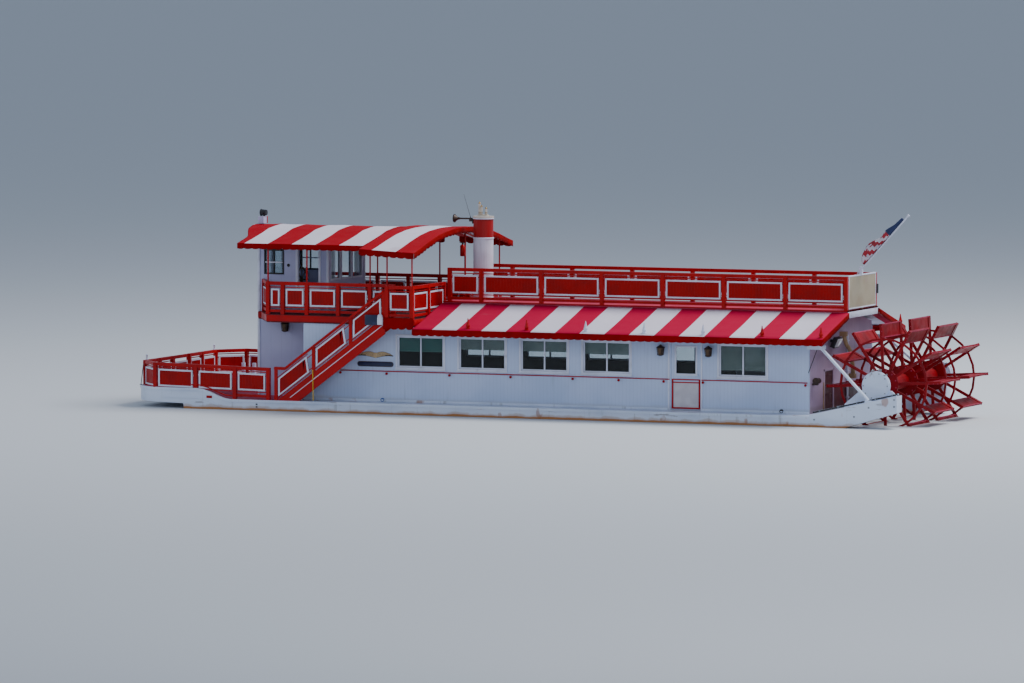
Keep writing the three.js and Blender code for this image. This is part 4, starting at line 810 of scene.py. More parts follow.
def make_side_windows():
    frames, panes, blinds, sashes = [], [], [], []
    for x, drop in WINDOWS:
        x0, x1 = x - HALF, x + HALF
        a, b, foot, top = x0 - SURROUND, x1 + SURROUND, SILL - SURROUND, HEAD + SURROUND
        around = edges(a, b, foot, top, SURROUND + SURROUND_LAP, SURROUND_LAP)
        frames += on_side(2.40, 2.474, around[:1]) + on_side(2.40, 2.470, around[1:])
        frames.append((x0 - 0.065, x1 + 0.065, HOUSE_SIDE, 2.492, SILL - 0.072, SILL - 0.045))
        for a, b, y in ((x0, x + SASH_LAP, 2.428), (x - SASH_LAP, x1, 2.412)):
            sash = edges(a + SASH_GAP, b - SASH_GAP, SILL + 0.004, HEAD - 0.004, SASH_WIDTH)
            sashes += on_side(y - 0.012, y + 0.012, sash)
            panes.append((a + 0.03, b - 0.03, y - 0.004, y + 0.004, SILL + 0.03, HEAD - 0.03))
        blinds += blind_rows(x0, x1, drop)
    bars("side_window_frames", "trim", frames, both_sides=True, bevel=0.005)
    bars("side_window_sashes", "trim", sashes, both_sides=True, bevel=0.003)
    bars("side_window_panes", "glass", panes, both_sides=True, bevel=0.001)
    bars("side_window_blinds", "blind", blinds, both_sides=True, bevel=0)


make_side_windows()


# Doors.
SIDE_DOOR = (-4.844, -4.026)
LEAF_FACE = 2.446


def make_side_doors():
    x0, x1 = SIDE_DOOR
    a, b = x0 + 0.09, x1 - 0.09
    left, right = x0 + 0.004, x1 - 0.014
    leaf = {
        "trim": on_side(LEAF_FACE, 2.462, [
            (a, b, 1.955, 2.01), (a, b, 2.70, 2.745), (a, a + 0.05, 2.01, 2.70), (b - 0.05, b, 2.01, 2.70)]),
        "glass": on_side(2.42, 2.428, [(x0 + 0.12, x1 - 0.12, 1.98, 2.73)]),
        "door_panel": on_side(LEAF_FACE, 2.456, [(x0 + 0.06, x1 - 0.06, 1.12, 1.78)]),
        "red": [
            (left, x0 + 0.048, LEAF_FACE, 2.466, 1.085, 1.86),
            (x1 - 0.056, right, LEAF_FACE, 2.466, 1.085, 1.86),
            (left, right, LEAF_FACE, 2.474, 1.838, 1.866),
            (left, right, LEAF_FACE, 2.466, 1.76, 1.79),
            (left, right, LEAF_FACE, 2.472, 1.082, 1.122)],
    }
    for finish, rows in leaf.items():
        piece = bars(f"cabin_door_{finish}_port", finish, rows, "cabin_door_port_body")
        twin_on(piece, f"cabin_door_{finish}_starboard", "cabin_door_starboard_body")
    surround = [
        (-4.90, -4.85, HOUSE_SIDE, 2.468, 1.04, 2.88), (-3.98, -3.93, HOUSE_SIDE, 2.468, 1.04, 2.88),
        (-4.90, -3.93, HOUSE_SIDE, 2.47, 2.83, 2.88), (-4.88, -3.99, HOUSE_SIDE + 0.002, 2.52, 1.026, 1.036)]
    bars("side_door_surrounds", "trim", surround, both_sides=True)


def make_fore_door():
    body = "fore_house_door_body"
    # The sides of the frame run its full height, so it is laid out lying down.
    lying = edges(1.94, 2.80, -0.30, 0.30, 0.05)
    upright = [(a, b, foot, top) for foot, top, a, b in lying]
    mouldings = on_end(8.326, 8.338, [(-0.30, 0.30, 1.12, 1.86)]) + on_end(8.326, 8.340, upright)
    bars("fore_door_mouldings", "trim", mouldings, body)
    bars("fore_door_pane", "glass", [(8.30, 8.308, -0.265, 0.265, 1.97, 2.77)], body, bevel=0.001)
    piece = start("fore_door_handle")
    round_bar((8.32, -0.33, 1.98), (8.372, -0.33, 1.98), 0.012)
    round_bar((8.366, -0.345, 1.98), (8.366, -0.23, 1.98), 0.011)
    soften(0.003)
    done(piece, "brass", body)


def make_small_doors():
    """The pilothouse doors' panels, and the frame and ribs of the stern hatch."""
    panel = on_side(1.246, 1.256, edges(6.62, 7.11, 3.38, 3.93, 0.05))
    piece = bars("pilothouse_door_panel_port", "trim", panel, "pilothouse_door_port_body")
    twin_on(piece, "pilothouse_door_panel_starboard", "pilothouse_door_starboard_body")
    hatch = on_end(-7.886, SALOON_AFT + 0.002, [
        (0.58, 0.64, 1.04, 2.14), (1.27, 1.33, 1.04, 2.14), (0.58, 1.33, 2.08, 2.14)])
    bars("stern_hatch_frame", "bulkhead", hatch)
    ribs = on_end(-7.872, -7.860, [(0.68, 1.23, z, z + 0.03) for z in (1.2, 1.45, 1.7, 1.95)])
    bars("stern_hatch_ribs", "maroon", ribs, "stern_hatch_body")


make_side_doors()
make_fore_door()
make_small_doors()


# Pilothouse and fore house: window frames, glazing bars, portholes, corner posts, the console and the helm.
def make_pilothouse_sides():
    x0, x1, z0, z1 = 7.590, 8.145, 4.260, 4.940
    a, b, foot = x0 - 0.012, x1 + 0.012, z0 + 0.05
    level = [(a, b, z0 + 0.03, z0 + 0.07), (a, b, z1 - 0.02, z1 + 0.03)]
    upright = [(a, x0 + 0.03, foot, z1), (x1 - 0.03, b, foot, z1)]
    frames = on_side(1.18, 1.266, level + upright)
    frames.append((7.853, 7.883, 1.20, 1.262, foot, z1))
    bars("pilothouse_side_frames", "dark", frames, both_sides=True)
    bars("pilothouse_side_fills", "pilothouse", [(x0, x1, 1.19, 1.256, z0, z0 + 0.045)], both_sides=True)
    bars("pilothouse_side_bars", "trim", [(x0, x1, 1.20, 1.266, 4.598, 4.63)], both_sides=True)
    bars("pilothouse_side_panes", "glass", [(x0, x1, 1.215, 1.223, z0, z1)], both_sides=True, bevel=0.001)
    posts = [(6.50, 6.565, 3.295, 5.06), (7.165, 7.23, 3.295, 5.06), (6.50, 7.23, 5.01, 5.075)]
    bars("pilothouse_door_posts", "trim", on_side(1.17, 1.275, posts), both_sides=True)
    porthole = [(0, 0), (0.040, 0), (0.044, 0.008), (0.038, 0.018), (0.028, 0.010), (0, 0.008)]
    place = (7.444, PILOTHOUSE_SIDE, 4.54)
    turned_piece("pilothouse_portholes", "dark", porthole, [place], "Y", both_sides=True)


def make_pilothouse_ends():
    low, high = 4.17, 4.94
    frames, panes = [], []
    for x in (6.29, 8.27):
        for y in (-0.74, 0.0, 0.74):
            window = edges(y - 0.35, y + 0.35, low - 0.03, high + 0.03, 0.042, 0.012)
            frames += on_end(x - 0.012, x + 0.072, window)
            panes.append((x + 0.026, x + 0.034, y - 0.32, y + 0.32, low, high))
    bars("pilothouse_end_frames", "trim", frames)
    bars("pilothouse_end_panes", "glass", panes, bevel=0.001)


def make_corner_posts():
    posts = [(8.28, 8.345, 3.30, 5.14), (6.27, 6.335, 3.30, 5.14), (8.28, 8.345, 1.04, 3.08)]
    bars("house_corner_posts", "trim", on_side(1.205, 1.272, posts), both_sides=True)


def make_helm():
    console = [(7.75, 8.15, -0.62, 0.62, 3.31, 4.05), (7.70, 8.18, -0.66, 0.66, 4.05, 4.09)]
    bars("console", "trim", console, bevel=0.01)
    piece = start("helm")
    turned([(0.31, -0.016), (0.35, -0.016), (0.35, 0.016), (0.31, 0.016), (0.31, -0.016)], HELM_HUB, "X", 32)
    hub = Vector(HELM_HUB)
    for k in range(8):
        a = k * math.pi / 4
        way = Vector((0, math.cos(a), math.sin(a)))
        round_bar(hub + way * 0.03, hub + way * 0.45, 0.013, 10)
        ball(hub + way * 0.44, 0.022, rings=6)
    nave = [(0, -0.03), (0.06, -0.03), (0.06, 0.03), (0.03, 0.04), (0.025, 0.15), (0, 0.15)]
    turned(nave, HELM_HUB, "X", 18)
    done(piece, "bronze")


make_pilothouse_sides()
make_pilothouse_ends()
make_corner_posts()
make_helm()


# Carriage lamps on brackets along the house: place, how wide and how tall against the pattern.
LAMPS = [
    (-3.77, HOUSE_SIDE, 2.57, 2.05, 1.55),
    (-5.11, HOUSE_SIDE, 2.57, 2.05, 1.55),
    (7.49, PILOTHOUSE_SIDE, 2.86, 2.05, 1.6),
]
LAMP_REACH = 0.07
LAMP_HOOD = [(0, 0.13), (0.012, 0.12), (0.05, 0.085), (0.062, 0.07), (0, 0.07)]
LAMP_BASE = [(0, -0.07), (0.02, -0.065), (0.045, -0.05), (0.045, -0.042), (0, -0.042)]
LAMP_GLASS = [(0, -0.042), (0.032, -0.042), (0.043, 0.07), (0, 0.07)]


def make_lamps():
    metal = start("house_lamps")
    for x, y, z, wide, tall in LAMPS:
        out = y + LAMP_REACH * wide
        bar(x - 0.035, x + 0.035, y, y + 0.015, z - 0.06 * tall, z + 0.09 * tall)
        round_bar((x, y + 0.01, z + 0.06 * tall), (x, out, z + 0.11 * tall), 0.012, 8)
        for profile in (LAMP_HOOD, LAMP_BASE):
            turned([(r * wide, h * tall) for r, h in profile], (x, out, z), "Z", 12)
        for k in range(4):
            a = math.pi / 4 + k * math.pi / 2
            ends = []
            for radius, height in ((0.04, -0.045), (0.052, 0.075)):
                reach = radius * wide
                ends.append((x + reach * math.cos(a), out + reach * math.sin(a), z + height * tall))
            round_bar(*ends, 0.009, 6)
    done(metal, "lamp_brown", both_sides=True)
    glass = start("house_lamp_glasses")
    for x, y, z, wide, tall in LAMPS:
        turned([(r * wide, h * tall) for r, h in LAMP_GLASS], (x, y + LAMP_REACH * wide, z), "Z", 10)
    done(glass, "bronze", both_sides=True)


make_lamps()


# The gilded wings and the blank sign below them, on each side of the house.
ORNAMENT_MIDDLE = 4.40
SIGN_HEIGHT = 2.035
# share of a wing's length from its root, height of its upper edge, depth of its feathers
WING = [
    (0.0, 2.318, 0.115), (0.18, 2.352, 0.13), (0.36, 2.366, 0.125), (0.55, 2.356, 0.10), (0.75, 2.325, 0.065),
    (0.9, 2.29, 0.035), (1.0, 2.262, 0.008)]


def wing_outline(rows, reach, top, foot, rim=0.0):
    """Between two shares of the feathers' depth, and as far again as the rim outside them."""
    upper = [(ORNAMENT_MIDDLE + reach * share, z - deep * top + rim) for share, z, deep in rows]
    lower = [(ORNAMENT_MIDDLE + reach * share, z - deep * foot - rim) for share, z, deep in reversed(rows)]
    return upper + lower


def make_wings():
    back = start("wing_backs")
    for side in (1, -1):
        plate(wing_outline(WING, side * 0.51, 0, 1, 0.006), "Y", HOUSE_SIDE, HOUSE_SIDE + 0.007)
    done(back, "lamp_brown", both_sides=True)
    piece = start("gilded_wings")
    for side in (1, -1):
        for k in range(4):
            feathers = wing_outline(WING[:len(WING) - k], side * 0.505, (k + 0.06) / 4, (k + 0.80) / 4)
            plate(feathers, "Y", HOUSE_SIDE + 0.005, HOUSE_SIDE + 0.016 + 0.002 * k)
    ball((ORNAMENT_MIDDLE, HOUSE_SIDE + 0.008, 2.27), 0.05, (1, 0.35, 1.5), 10)
    done(piece, "feather", both_sides=True)


def make_blank_sign():
    end = arc(0.46, 0, 0.055, 0.062, math.pi, 8)
    outline = [(ORNAMENT_MIDDLE + x, SIGN_HEIGHT + z) for x, z in end]
    outline += [(ORNAMENT_MIDDLE - x, SIGN_HEIGHT + z) for x, z in reversed(end)]
    face = HOUSE_SIDE + 0.016
    piece = start("blank_sign")
    plate(outline, "Y", HOUSE_SIDE, face)
    soften(0.003)
    done(piece, "navy", both_sides=True)
    piece = start("sign_rim")
    edge = [(x, face, z) for x, z in outline]
    for a, b in zip(edge, edge[1:] + edge[:1]):
        round_bar(a, b, 0.007, 6)
    done(piece, "bronze", both_sides=True)


make_wings()
make_blank_sign()


# What stands on the awnings, on the stack and beside it.
FINIAL = [
    (0, -0.03), (0.06, -0.03), (0.06, 0.012), (0.04, 0.022), (0.052, 0.05), (0.056, 0.075), (0.046, 0.105),
    (0.036, 0.12), (0.036, 0.14), (0.024, 0.19), (0.011, 0.265), (0, 0.27)]
RED_FINIALS = (1.56, -0.11, -6.72, -8.35)
WHITE_FINIALS = (-1.78, -3.43, -5.08)


def make_finials():
    for name, finish, along in (
        ("awning_finials_red", "red", RED_FINIALS), ("awning_finials_white", "trim", WHITE_FINIALS),
    ):
        places = [(x - 0.08, HULL_SIDE, 3.095) for x in along]
        turned_piece(name, finish, FINIAL, places, "Z", 16, both_sides=True)


def make_stack_bands():
    places = [(STACK_MIDDLE, 0, z) for z in (3.70, 5.32, 5.845)]
    turned_piece("stack_bands", "trim", ring(0.268, 0.284, 0.288, 0.02, 0.016), places, "Z", 36)
    horn_rim = ring(0.096, 0.112, 0.116, 0.012, 0.012)
    turned_piece("horn_bell_rim", "lamp_brown", horn_rim, [(3.14, 0, 5.83)], "X", 24)


def make_fire_extinguisher():
    """The post beside the stack, and the extinguisher on its arm."""
    piece = start("stack_guard_post")
    bar(3.05, 3.09, -0.60, -0.56, 3.292, 5.40)
    bar(3.03, 3.05, -0.42, -0.30, 4.86, 5.06)
    bar(3.05, 3.09, -0.60, -0.30, 4.94, 4.98)
    soften(0.004)
    done(piece, "red")
    x, y = 3.05, -0.36
    bottle = [
        (0, -0.17), (0.06, -0.165), (0.072, -0.15), (0.072, 0.09), (0.05, 0.13), (0.022, 0.145), (0.022, 0.16),
        (0, 0.16)]
    turned_piece("fire_extinguisher", "red", bottle, [(x, y, 4.96)], "Z", 18)
    piece = start("fire_extinguisher_valve")
    turned([(0, 0), (0.028, 0), (0.028, 0.03), (0.012, 0.04), (0, 0.04)], (x, y, 5.12), "Z", 12)
    bar(x - 0.01, x + 0.09, y - 0.01, y + 0.01, 5.15, 5.165)
    round_bar((x, y, 5.13), (x + 0.08, y, 5.06), 0.009, 8)
    done(piece, "dark")


# Each whistle's place beside the middle of the stack, its radius and its height.
WHISTLES = [(0.11, 0, 0.032, 0.34), (0.035, 0.045, 0.026, 0.26), (-0.07, -0.02, 0.030, 0.205)]
WHISTLE_FOOT = 5.905


def make_whistle_rings():
    piece = start("whistle_rings")
    for along, y, r, height in WHISTLES:
        x = STACK_MIDDLE + along
        for lift in (0.055, 0.10, height):
            section = ring(r - 0.004, r + 0.007, r + 0.009, 0.006, 0.005)
            turned(section, (x, y, WHISTLE_FOOT + lift), "Z", 16)
        cap = [(0, 0), (r * 0.9, 0.002), (r * 0.5, 0.022), (0.008, 0.03), (0.011, 0.042), (0, 0.05)]
        turned(cap, (x, y, WHISTLE_FOOT + height), "Z", 12)
    done(piece, "brass")


make_finials()
make_stack_bands()
make_fire_extinguisher()
make_whistle_rings()


# Lights: the box and the searchlight on the pilothouse roof, and the bow lights.
LIGHT_BOX_FRONT = [(0, 0), (0.03, 0), (0.034, 0.03), (0.022, 0.05), (0, 0.055)]
SEARCHLIGHT = (8.79, 0, 5.877)
SEARCHLIGHT_RIM = [
    (0.074, -0.012), (0.094, -0.012), (0.097, 0.004), (0.09, 0.012), (0.074, 0.008), (0.074, -0.012)]
SEARCHLIGHT_GLASS = [(0, 0.012), (0.04, 0.010), (0.08, 0.002), (0.08, -0.004), (0, -0.004)]
BOW_LIGHT = [
    (0, 0), (0.035, 0), (0.035, 0.02), (0.026, 0.03), (0.026, 0.12), (0.034, 0.13), (0.02, 0.15), (0, 0.155)]


def make_lights():
    bars("light_box_side", "red", [(8.655, 8.667, -0.137, -0.085, 5.592, 5.778)])
    bars("light_box_lid", "trim", [(8.66, 8.83, -0.135, 0.135, 5.776, 5.7805)], bevel=0.002)
    turned_piece("light_box_fitting", "dark", LIGHT_BOX_FRONT, [(8.825, 0, 5.68)], "X", 14)
    piece = start("searchlight_rim")
    turned(SEARCHLIGHT_RIM, SEARCHLIGHT, "X", 24)
    for side in (1, -1):
        bar(8.695, 8.715, side * 0.092 - 0.006, side * 0.092 + 0.006, 5.80, 5.89)
    done(piece, "dark", "searchlight_body")
    turned_piece("searchlight_glass", "lens", SEARCHLIGHT_GLASS, [SEARCHLIGHT], "X", 24, "searchlight_body")
    turned_piece("bow_lights", "trim", BOW_LIGHT, [(BOW_RAIL_FRONT, 2.232, 1.966)], "Z", 14, both_sides=True)
    piece = start("bow_struts")
    round_bar((11.22, 2.34, 1.95), (11.285, 2.38, 1.31), 0.011, 8)
    bar(11.26, 11.31, 2.34, 2.42, 1.30, 1.315)
    done(piece, "dark", both_sides=True)


make_lights()


# Small fittings along the hull and the stairs.
OUTLET = [(0, 0), (0.052, 0), (0.052, 0.030), (0.044, 0.036), (0.03, 0.022), (0, 0.020)]


def make_hull_fittings():
    marks = on_side(HULL_SIDE - 0.001, HULL_SIDE + 0.006, [(7.55, 7.60, z, z + 0.035) for z in (0.83, 0.90)])
    bars("draft_marks", "dark", marks, both_sides=True, bevel=0.002)
    outlets = (("fore_outlet", "blue", 4.198, 1.085), ("after_outlet", "dark", -7.109, 1.095))
    for name, finish, x, z in outlets:
        turned_piece(name, finish, OUTLET, [(x, HOUSE_SIDE, z)], "Y", 18, both_sides=True)
    bars("hull_step", "trim", [(1.06, 1.20, HULL_SIDE, 3.125, 0.955, 0.995)], both_sides=True)
    mark = [(8.875, 9.04, HULL_SIDE, HULL_SIDE + 0.006, 1.045, 1.115)]
    bars("hull_mark", "slats", mark, both_sides=True, bevel=0.002)
    coaming = on_side(HOUSE_SIDE, 2.475, [(SALOON_AFT, -4.88, 1.032, 1.10), (-3.96, 6.49, 1.032, 1.10)])
    bars("side_coaming", "hull", coaming, both_sides=True, bevel=0.006)
    piece = start("boathook_pole")
    round_bar((5.944, HULL_SIDE, 1.85), (5.93, HULL_SIDE, 1.06), 0.014, 10)
    ball((5.944, HULL_SIDE, 1.86), 0.02, rings=6)
    soften(0.003)
    done(piece, "yellow")


def make_stair_fittings():
    """A box and a lamp beside the stairs, and a pale line along each outer string, following its slope."""
    bars("stair_box", "navy", [(4.06, 4.40, 3.115, 3.20, 3.12, 3.39)], bevel=0.012)
    piece = start("stair_box_lamp")
    bar(3.90, 4.05, 3.11, 3.20, 3.13, 3.33)
    soften(0.02)
    hood = [(0, 0.09), (0.04, 0.084), (0.062, 0.06), (0.07, 0.02), (0.07, 0), (0, 0)]
    turned(hood, (3.975, 3.16, 3.325), "Z", 18)
    done(piece, "trim")
    piece = start("stair_string_lines")
    line = [(x, stair_line(x) - 0.075) for x in (6.60, 3.90)]
    plate(skin(line, 0, 0.022), "Y", HULL_SIDE, HULL_SIDE + 0.006)
    done(piece, "trim", both_sides=True)


make_hull_fittings()
make_stair_fittings()


# The stern: pipes and bolts on the wheel's beams, unions on the drive housings, fittings on the after wall.
AXLE = Vector((-9.735, 0, 1.83))
BEAM_START, BEAM_SLOPE, BEAM_TILT = -8.15, 0.2286, math.radians(12.9)
PIPE_HEIGHT, CLIP_HEIGHT = 1.120, 1.105
# The starboard beam is the shorter one.
BEAMS = (("port", 1, 2.33), ("starboard", -1, 1.62))
BEAM_PIPES = (("dark", 0.0, 0.022), ("trim", 0.07, 0.020), ("dark", 0.135, 0.018))
BEAM_BOLTS = [(-8.25, 0.62), (-8.25, 0.95), (-9.35, 1.05), (-9.75, 1.30)]
LONG_BEAM_BOLTS = [(-10.45, 1.34), (-10.45, 1.52)]


def make_beam_pipes():
    for side, sign, length in BEAMS:
        for finish, offset, radius in BEAM_PIPES:
            piece = start(f"beam_pipe_{side}_{round(offset * 1000)}")
            y = sign * (2.78 + offset)
            aft_end = (BEAM_START - length, y, PIPE_HEIGHT + BEAM_SLOPE * length)
            round_bar((BEAM_START, y, PIPE_HEIGHT), aft_end, radius, 12)
            done(piece, finish)
        piece = start(f"beam_pipe_clips_{side}")
        for share in (0.08, 0.3, 0.52, 0.74, 0.94):
            x, z = BEAM_START - length * share, CLIP_HEIGHT + BEAM_SLOPE * length * share
            low, high = sorted((sign * 2.75, sign * 2.945))
            bar(x - 0.02, x + 0.02, low, high, z - 0.01, z + 0.045, (0, BEAM_TILT, 0))
        soften(0.003)
        done(piece, "steel")


def make_beam_bolts():
    for (side, sign, length), more in zip(BEAMS, (LONG_BEAM_BOLTS, [])):
        head = [(0, 0), (0.026, 0), (0.026, sign * 0.012), (0.014, sign * 0.018), (0, sign * 0.018)]
        places = [(x, sign * HULL_SIDE, z) for x, z in BEAM_BOLTS + more]
        turned_piece(f"beam_bolts_{side}", "steel", head, places, "Y", 6)


def make_housing_unions():
    piece = start("housing_unions")
    y = 2.36
    for x, z in ((-9.62, 2.16), (-9.82, 2.18), (-9.98, 2.06)):
        round_bar((x, y, z - 0.06), (x, y, z + 0.08), 0.022, 12)
        round_bar((x, y, z + 0.05), (x - 0.02, y + 0.26, z + 0.06), 0.014, 10)
    for k in range(10):
        a = k * math.pi / 5
        x, z = AXLE.x + 0.33 * math.cos(a), AXLE.z + 0.33 * math.sin(a)
        round_bar((x, 2.545, z), (x, 2.562, z), 0.017, 6)
    done(piece, "steel", both_sides=True)


def make_stern_wall_fittings():
    piece = start("stern_stays")
    round_bar((-8.14, 2.56, 2.771), (-7.856, 2.462, 2.115), 0.010, 8)
    done(piece, "dark", both_sides=True)
    piece = start("exhaust_white_pipe")
    round_bar((-7.905, -0.40, 2.95), (-7.905, -0.40, 1.10), 0.03, 12)
    for z in (1.3, 2.0, 2.8):
        bar(-7.945, SALOON_AFT, -0.45, -0.35, z - 0.015, z + 0.015)
    done(piece, "trim")
    piece = start("stern_buoy_lamp")
    ball((-7.96, -0.68, 1.92), 0.075, (1, 1, 1), 12)
    round_bar((SALOON_AFT, -0.68, 1.92), (-7.95, -0.68, 1.92), 0.03, 12)
    done(piece, "trim")
    bars("stern_socket_box", "dark", [(-8.49, -8.43, -1.19, -1.10, 4.02, 4.27)], bevel=0.01)
    bars("hatch_edge_strip", "tan", [(-7.89, SALOON_AFT + 0.002, 1.335, 1.375, 1.06, 1.80)], bevel=0.003)
    # A maroon panel on the lower after wall beside the hatch, darker than the wall round it.
    bars("bulkhead_maroon_panel", "maroon", [(-7.878, SALOON_AFT + 0.002, -1.50, 0.575, 1.04, 1.70)], bevel=0.003)


def make_stern_floodlight():
    tilt = (0, math.radians(-24), 0)
    piece = start("stern_floodlight")
    bar(-8.09, -7.97, 0.63, 1.02, 2.68, 2.965, tilt)
    bar(-7.97, SALOON_AFT, 0.79, 0.87, 2.82, 2.90)
    soften(0.01)
    done(piece, "dark")
    bars("stern_floodlight_glass", "lens", [(-8.112, -8.094, 0.66, 0.99, 2.69, 2.93, tilt)], bevel=0.003)


def make_winch_motor():
    piece = start("winch_motor")
    drum = [(0, -0.12), (0.055, -0.12), (0.075, -0.10), (0.075, 0.08), (0.09, 0.085), (0.09, 0.12), (0, 0.12)]
    turned(drum, (-7.99, 2.15, 1.89), "Y", 20)
    bar(-8.0, SALOON_AFT, 2.08, 2.22, 1.78, 1.83)
    done(piece, "lamp_brown")


make_beam_pipes()
make_beam_bolts()
make_housing_unions()
make_stern_wall_fittings()
make_stern_floodlight()
make_winch_motor()


# Paddle wheel: board edges, paler partly from fading and partly as painted highlight, cleats and bolts on its
# boards, and hub rings, all on the wheel's body.
ARM_ANGLES = [math.radians(3 + 30 * k) for k in range(12)]
HUB_BOLT_ANGLES = [math.radians(18 + 30 * k) for k in range(12)]
BOARD_ENDS = (0.405, 1.865)
BOARD_MIDDLE = 1.393
BOLT_ASIDE = -0.024


def wheel_point(angle, radius, across=0.0):
    """A point in the wheel's plane: out along an arm, and across it."""
    way = Vector((-math.cos(angle), 0, math.sin(angle)))
    side = Vector((way.z, 0, -way.x))
    return AXLE + way * radius + side * across


def make_boards():
    piece = start("board_edges")
    for side in (1, -1):
        low, high = sorted(side * y for y in BOARD_ENDS)
        for a in ARM_ANGLES:
            for radius in (1.225, 1.562):
                x, _, z = wheel_point(a, radius)
                bar(x - 0.014, x + 0.014, low, high, z - 0.023, z + 0.023, (0, a, 0))
    done(piece, "board_edge", "paddle_wheel", smooth=0)
    piece = start("board_cleats")
    for side in (1, -1):
        for a in ARM_ANGLES:
            for y in (side * 0.445, side * 1.825):
                x, _, z = wheel_point(a, BOARD_MIDDLE)
                bar(x - 0.165, x + 0.165, y - 0.065, y + 0.065, z - 0.036, z + 0.036, (0, a, 0))
    done(piece, "wheel", "paddle_wheel", smooth=0)


def make_wheel_bolts():
    piece = start("wheel_bolts")
    for side in (1, -1):
        for y in (side * 0.37, side * 1.90):
            face = y + side * 0.034
            for a in HUB_BOLT_ANGLES:
                x, _, z = wheel_point(a, 0.36)
                round_bar((x, face - side * 0.01, z), (x, face + side * 0.014, z), 0.020, 6)
            for a in ARM_ANGLES:
                for radius in (1.255, 1.38, 1.505):
                    x, _, z = wheel_point(a, radius, BOLT_ASIDE)
                    round_bar((x, y - 0.03, z), (x, y + 0.03, z), 0.013, 6)
    done(piece, "board_edge", "paddle_wheel", smooth=0)


def make_hub_rings():
    places = [(AXLE.x, y, AXLE.z) for y in (0.26, 2.01, -0.26, -2.01)]
    hub_ring = ring(0.115, 0.165, 0.17, 0.035, 0.035)
    turned_piece("wheel_hub_rings", "wheel", hub_ring, places, "Y", 24, "paddle_wheel")


make_boards()
make_wheel_bolts()
make_hub_rings()


# Canvas. Each cloth is one sheet on its frame, with a scalloped edge hanging round it.
SCALLOP = 0.22
CANVAS_THICK, FLAG_THICK = 0.003, 0.0015


def thicken(piece, thickness):
    """Leaves edit mode, and gives a cloth its thickness."""
    bpy.ops.object.mode_set(mode="OBJECT")
    bpy.ops.object.shade_smooth()
    cloth = piece.modifiers.new("cloth", "SOLIDIFY")
    cloth.thickness = thickness
    bpy.ops.object.modifier_apply(modifier=cloth.name)


def hang_hem(mesh, line, middle, to_side, drop, tab):
    """A scalloped hem down from a line of points, outwards from the middle of the cloth."""
    run = 0.0
    above = None
    for k, vertex in enumerate(line):
        if k:
            run += (vertex.co - line[k - 1].co).length
        share = (run / SCALLOP) % 1.0
        deep = drop + tab * math.sqrt(max(1 - (2 * share - 1) ** 2, 0.0))
        out = (vertex.co - middle).to_2d()
        aside = out.y if abs(out.y) > 0.001 else middle.y
        lean = Vector((0, math.copysign(1, aside), 0)) if to_side else Vector((math.copysign(1, out.x), 0, 0))
        column = [vertex]
        for t in (0.15, 0.55, 1.0):
            sway = 0.006 * math.sin(run * 9.0) * t + 0.004
            column.append(mesh.verts.new(vertex.co + lean * sway - Vector((0, 0, deep * t))))
        if above:
            for a, b, c, d in zip(above, column, column[1:], above[1:]):
                mesh.faces.new((a, b, c, d)).material_index = 1
        above = column


def canvas(
    name, node, finish, surface, along, across, hems, drop=0.145, tab=0.032,
):
    """A sheet over surface(u, v), with a hem down from each named side: start, end, left or right."""
    piece = start(name)
    mesh = bmesh.from_edit_mesh(piece.data)
    grid = [
        [mesh.verts.new(surface(i / along, j / across)) for j in range(across + 1)] for i in range(along + 1)]
    for i in range(along):
        for j in range(across):
            mesh.faces.new((grid[i][j], grid[i + 1][j], grid[i + 1][j + 1], grid[i][j + 1]))
    left, right = [row[0] for row in grid], [row[-1] for row in grid]
    sides = {"left": left, "right": right, "start": grid[0], "end": grid[-1]}
    for side in hems:
        hang_hem(mesh, sides[side], surface(0.5, 0.5), side in ("left", "right"), drop, tab)
    bmesh.update_edit_mesh(piece.data)
    bpy.ops.mesh.select_all(action="SELECT")
    bpy.ops.mesh.normals_make_consistent(inside=False)
    thicken(piece, CANVAS_THICK)
    piece.data.materials.append(FINISHES[finish].material)
    piece.data.materials.append(FINISHES["valance"].material)
    if node:
        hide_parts(node)
    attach(piece, "boat")
    return piece


AWNING = {"front": 3.025, "aft": -8.52, "inner": 1.175, "outer": 3.255, "high": 3.625, "low": 3.045}
RAFTERS = [2.97] + [1.54 - 1.655 * k for k in range(7)]
AWNING_SAG, AWNING_RIPPLE = 0.016, 0.003


def sag(place, stations, depth):
    """How far a cloth hangs at a place between the stations that carry it."""
    stations = sorted(stations)
    for a, b in zip(stations, stations[1:]):
        if a <= place <= b:
            return depth * math.sin(math.pi * (place - a) / (b - a))
    return 0.0


def make_awnings():
    a = AWNING
    for side, sign in (("port", 1), ("starboard", -1)):
        def surface(u, v):
            x = a["front"] + (a["aft"] - a["front"]) * u
            y = a["inner"] + (a["outer"] - a["inner"]) * v
            z = a["high"] + (a["low"] - a["high"]) * v
            z -= sag(x, RAFTERS, AWNING_SAG) * math.sin(math.pi * min(max(v, 0.02), 0.98))
            z += AWNING_RIPPLE * math.sin(x * 7.0 + 5.0 * v) * math.sin(math.pi * v)
            return Vector((x, sign * y, z))
        canvas(f"awning_cloth_{side}", f"awning_{side}", "awning_cloth", surface, 262, 10, ["right", "end"])


FORE_PROFILE = [(0, 0), (0.13, 0.05), (0.35, 0.19), (0.53, 0.45), (0.76, 0.73), (1, 1)]
FORE_NOSE = [(0, 8.96), (0.57, 8.84), (0.94, 8.765), (1.29, 8.617), (1.69, 8.44), (2.5, 8.395)]
AFT_PROFILE = [(0, 0), (0.14, 0.01), (0.34, 0.10), (0.53, 0.28), (0.73, 0.57), (0.886, 0.83), (1, 1)]


def along_line(table, place):
    for (a, value_a), (b, value_b) in zip(table, table[1:]):
        if place <= b:
            return value_a + (value_b - value_a) * (place - a) / (b - a)
    return table[-1][1]


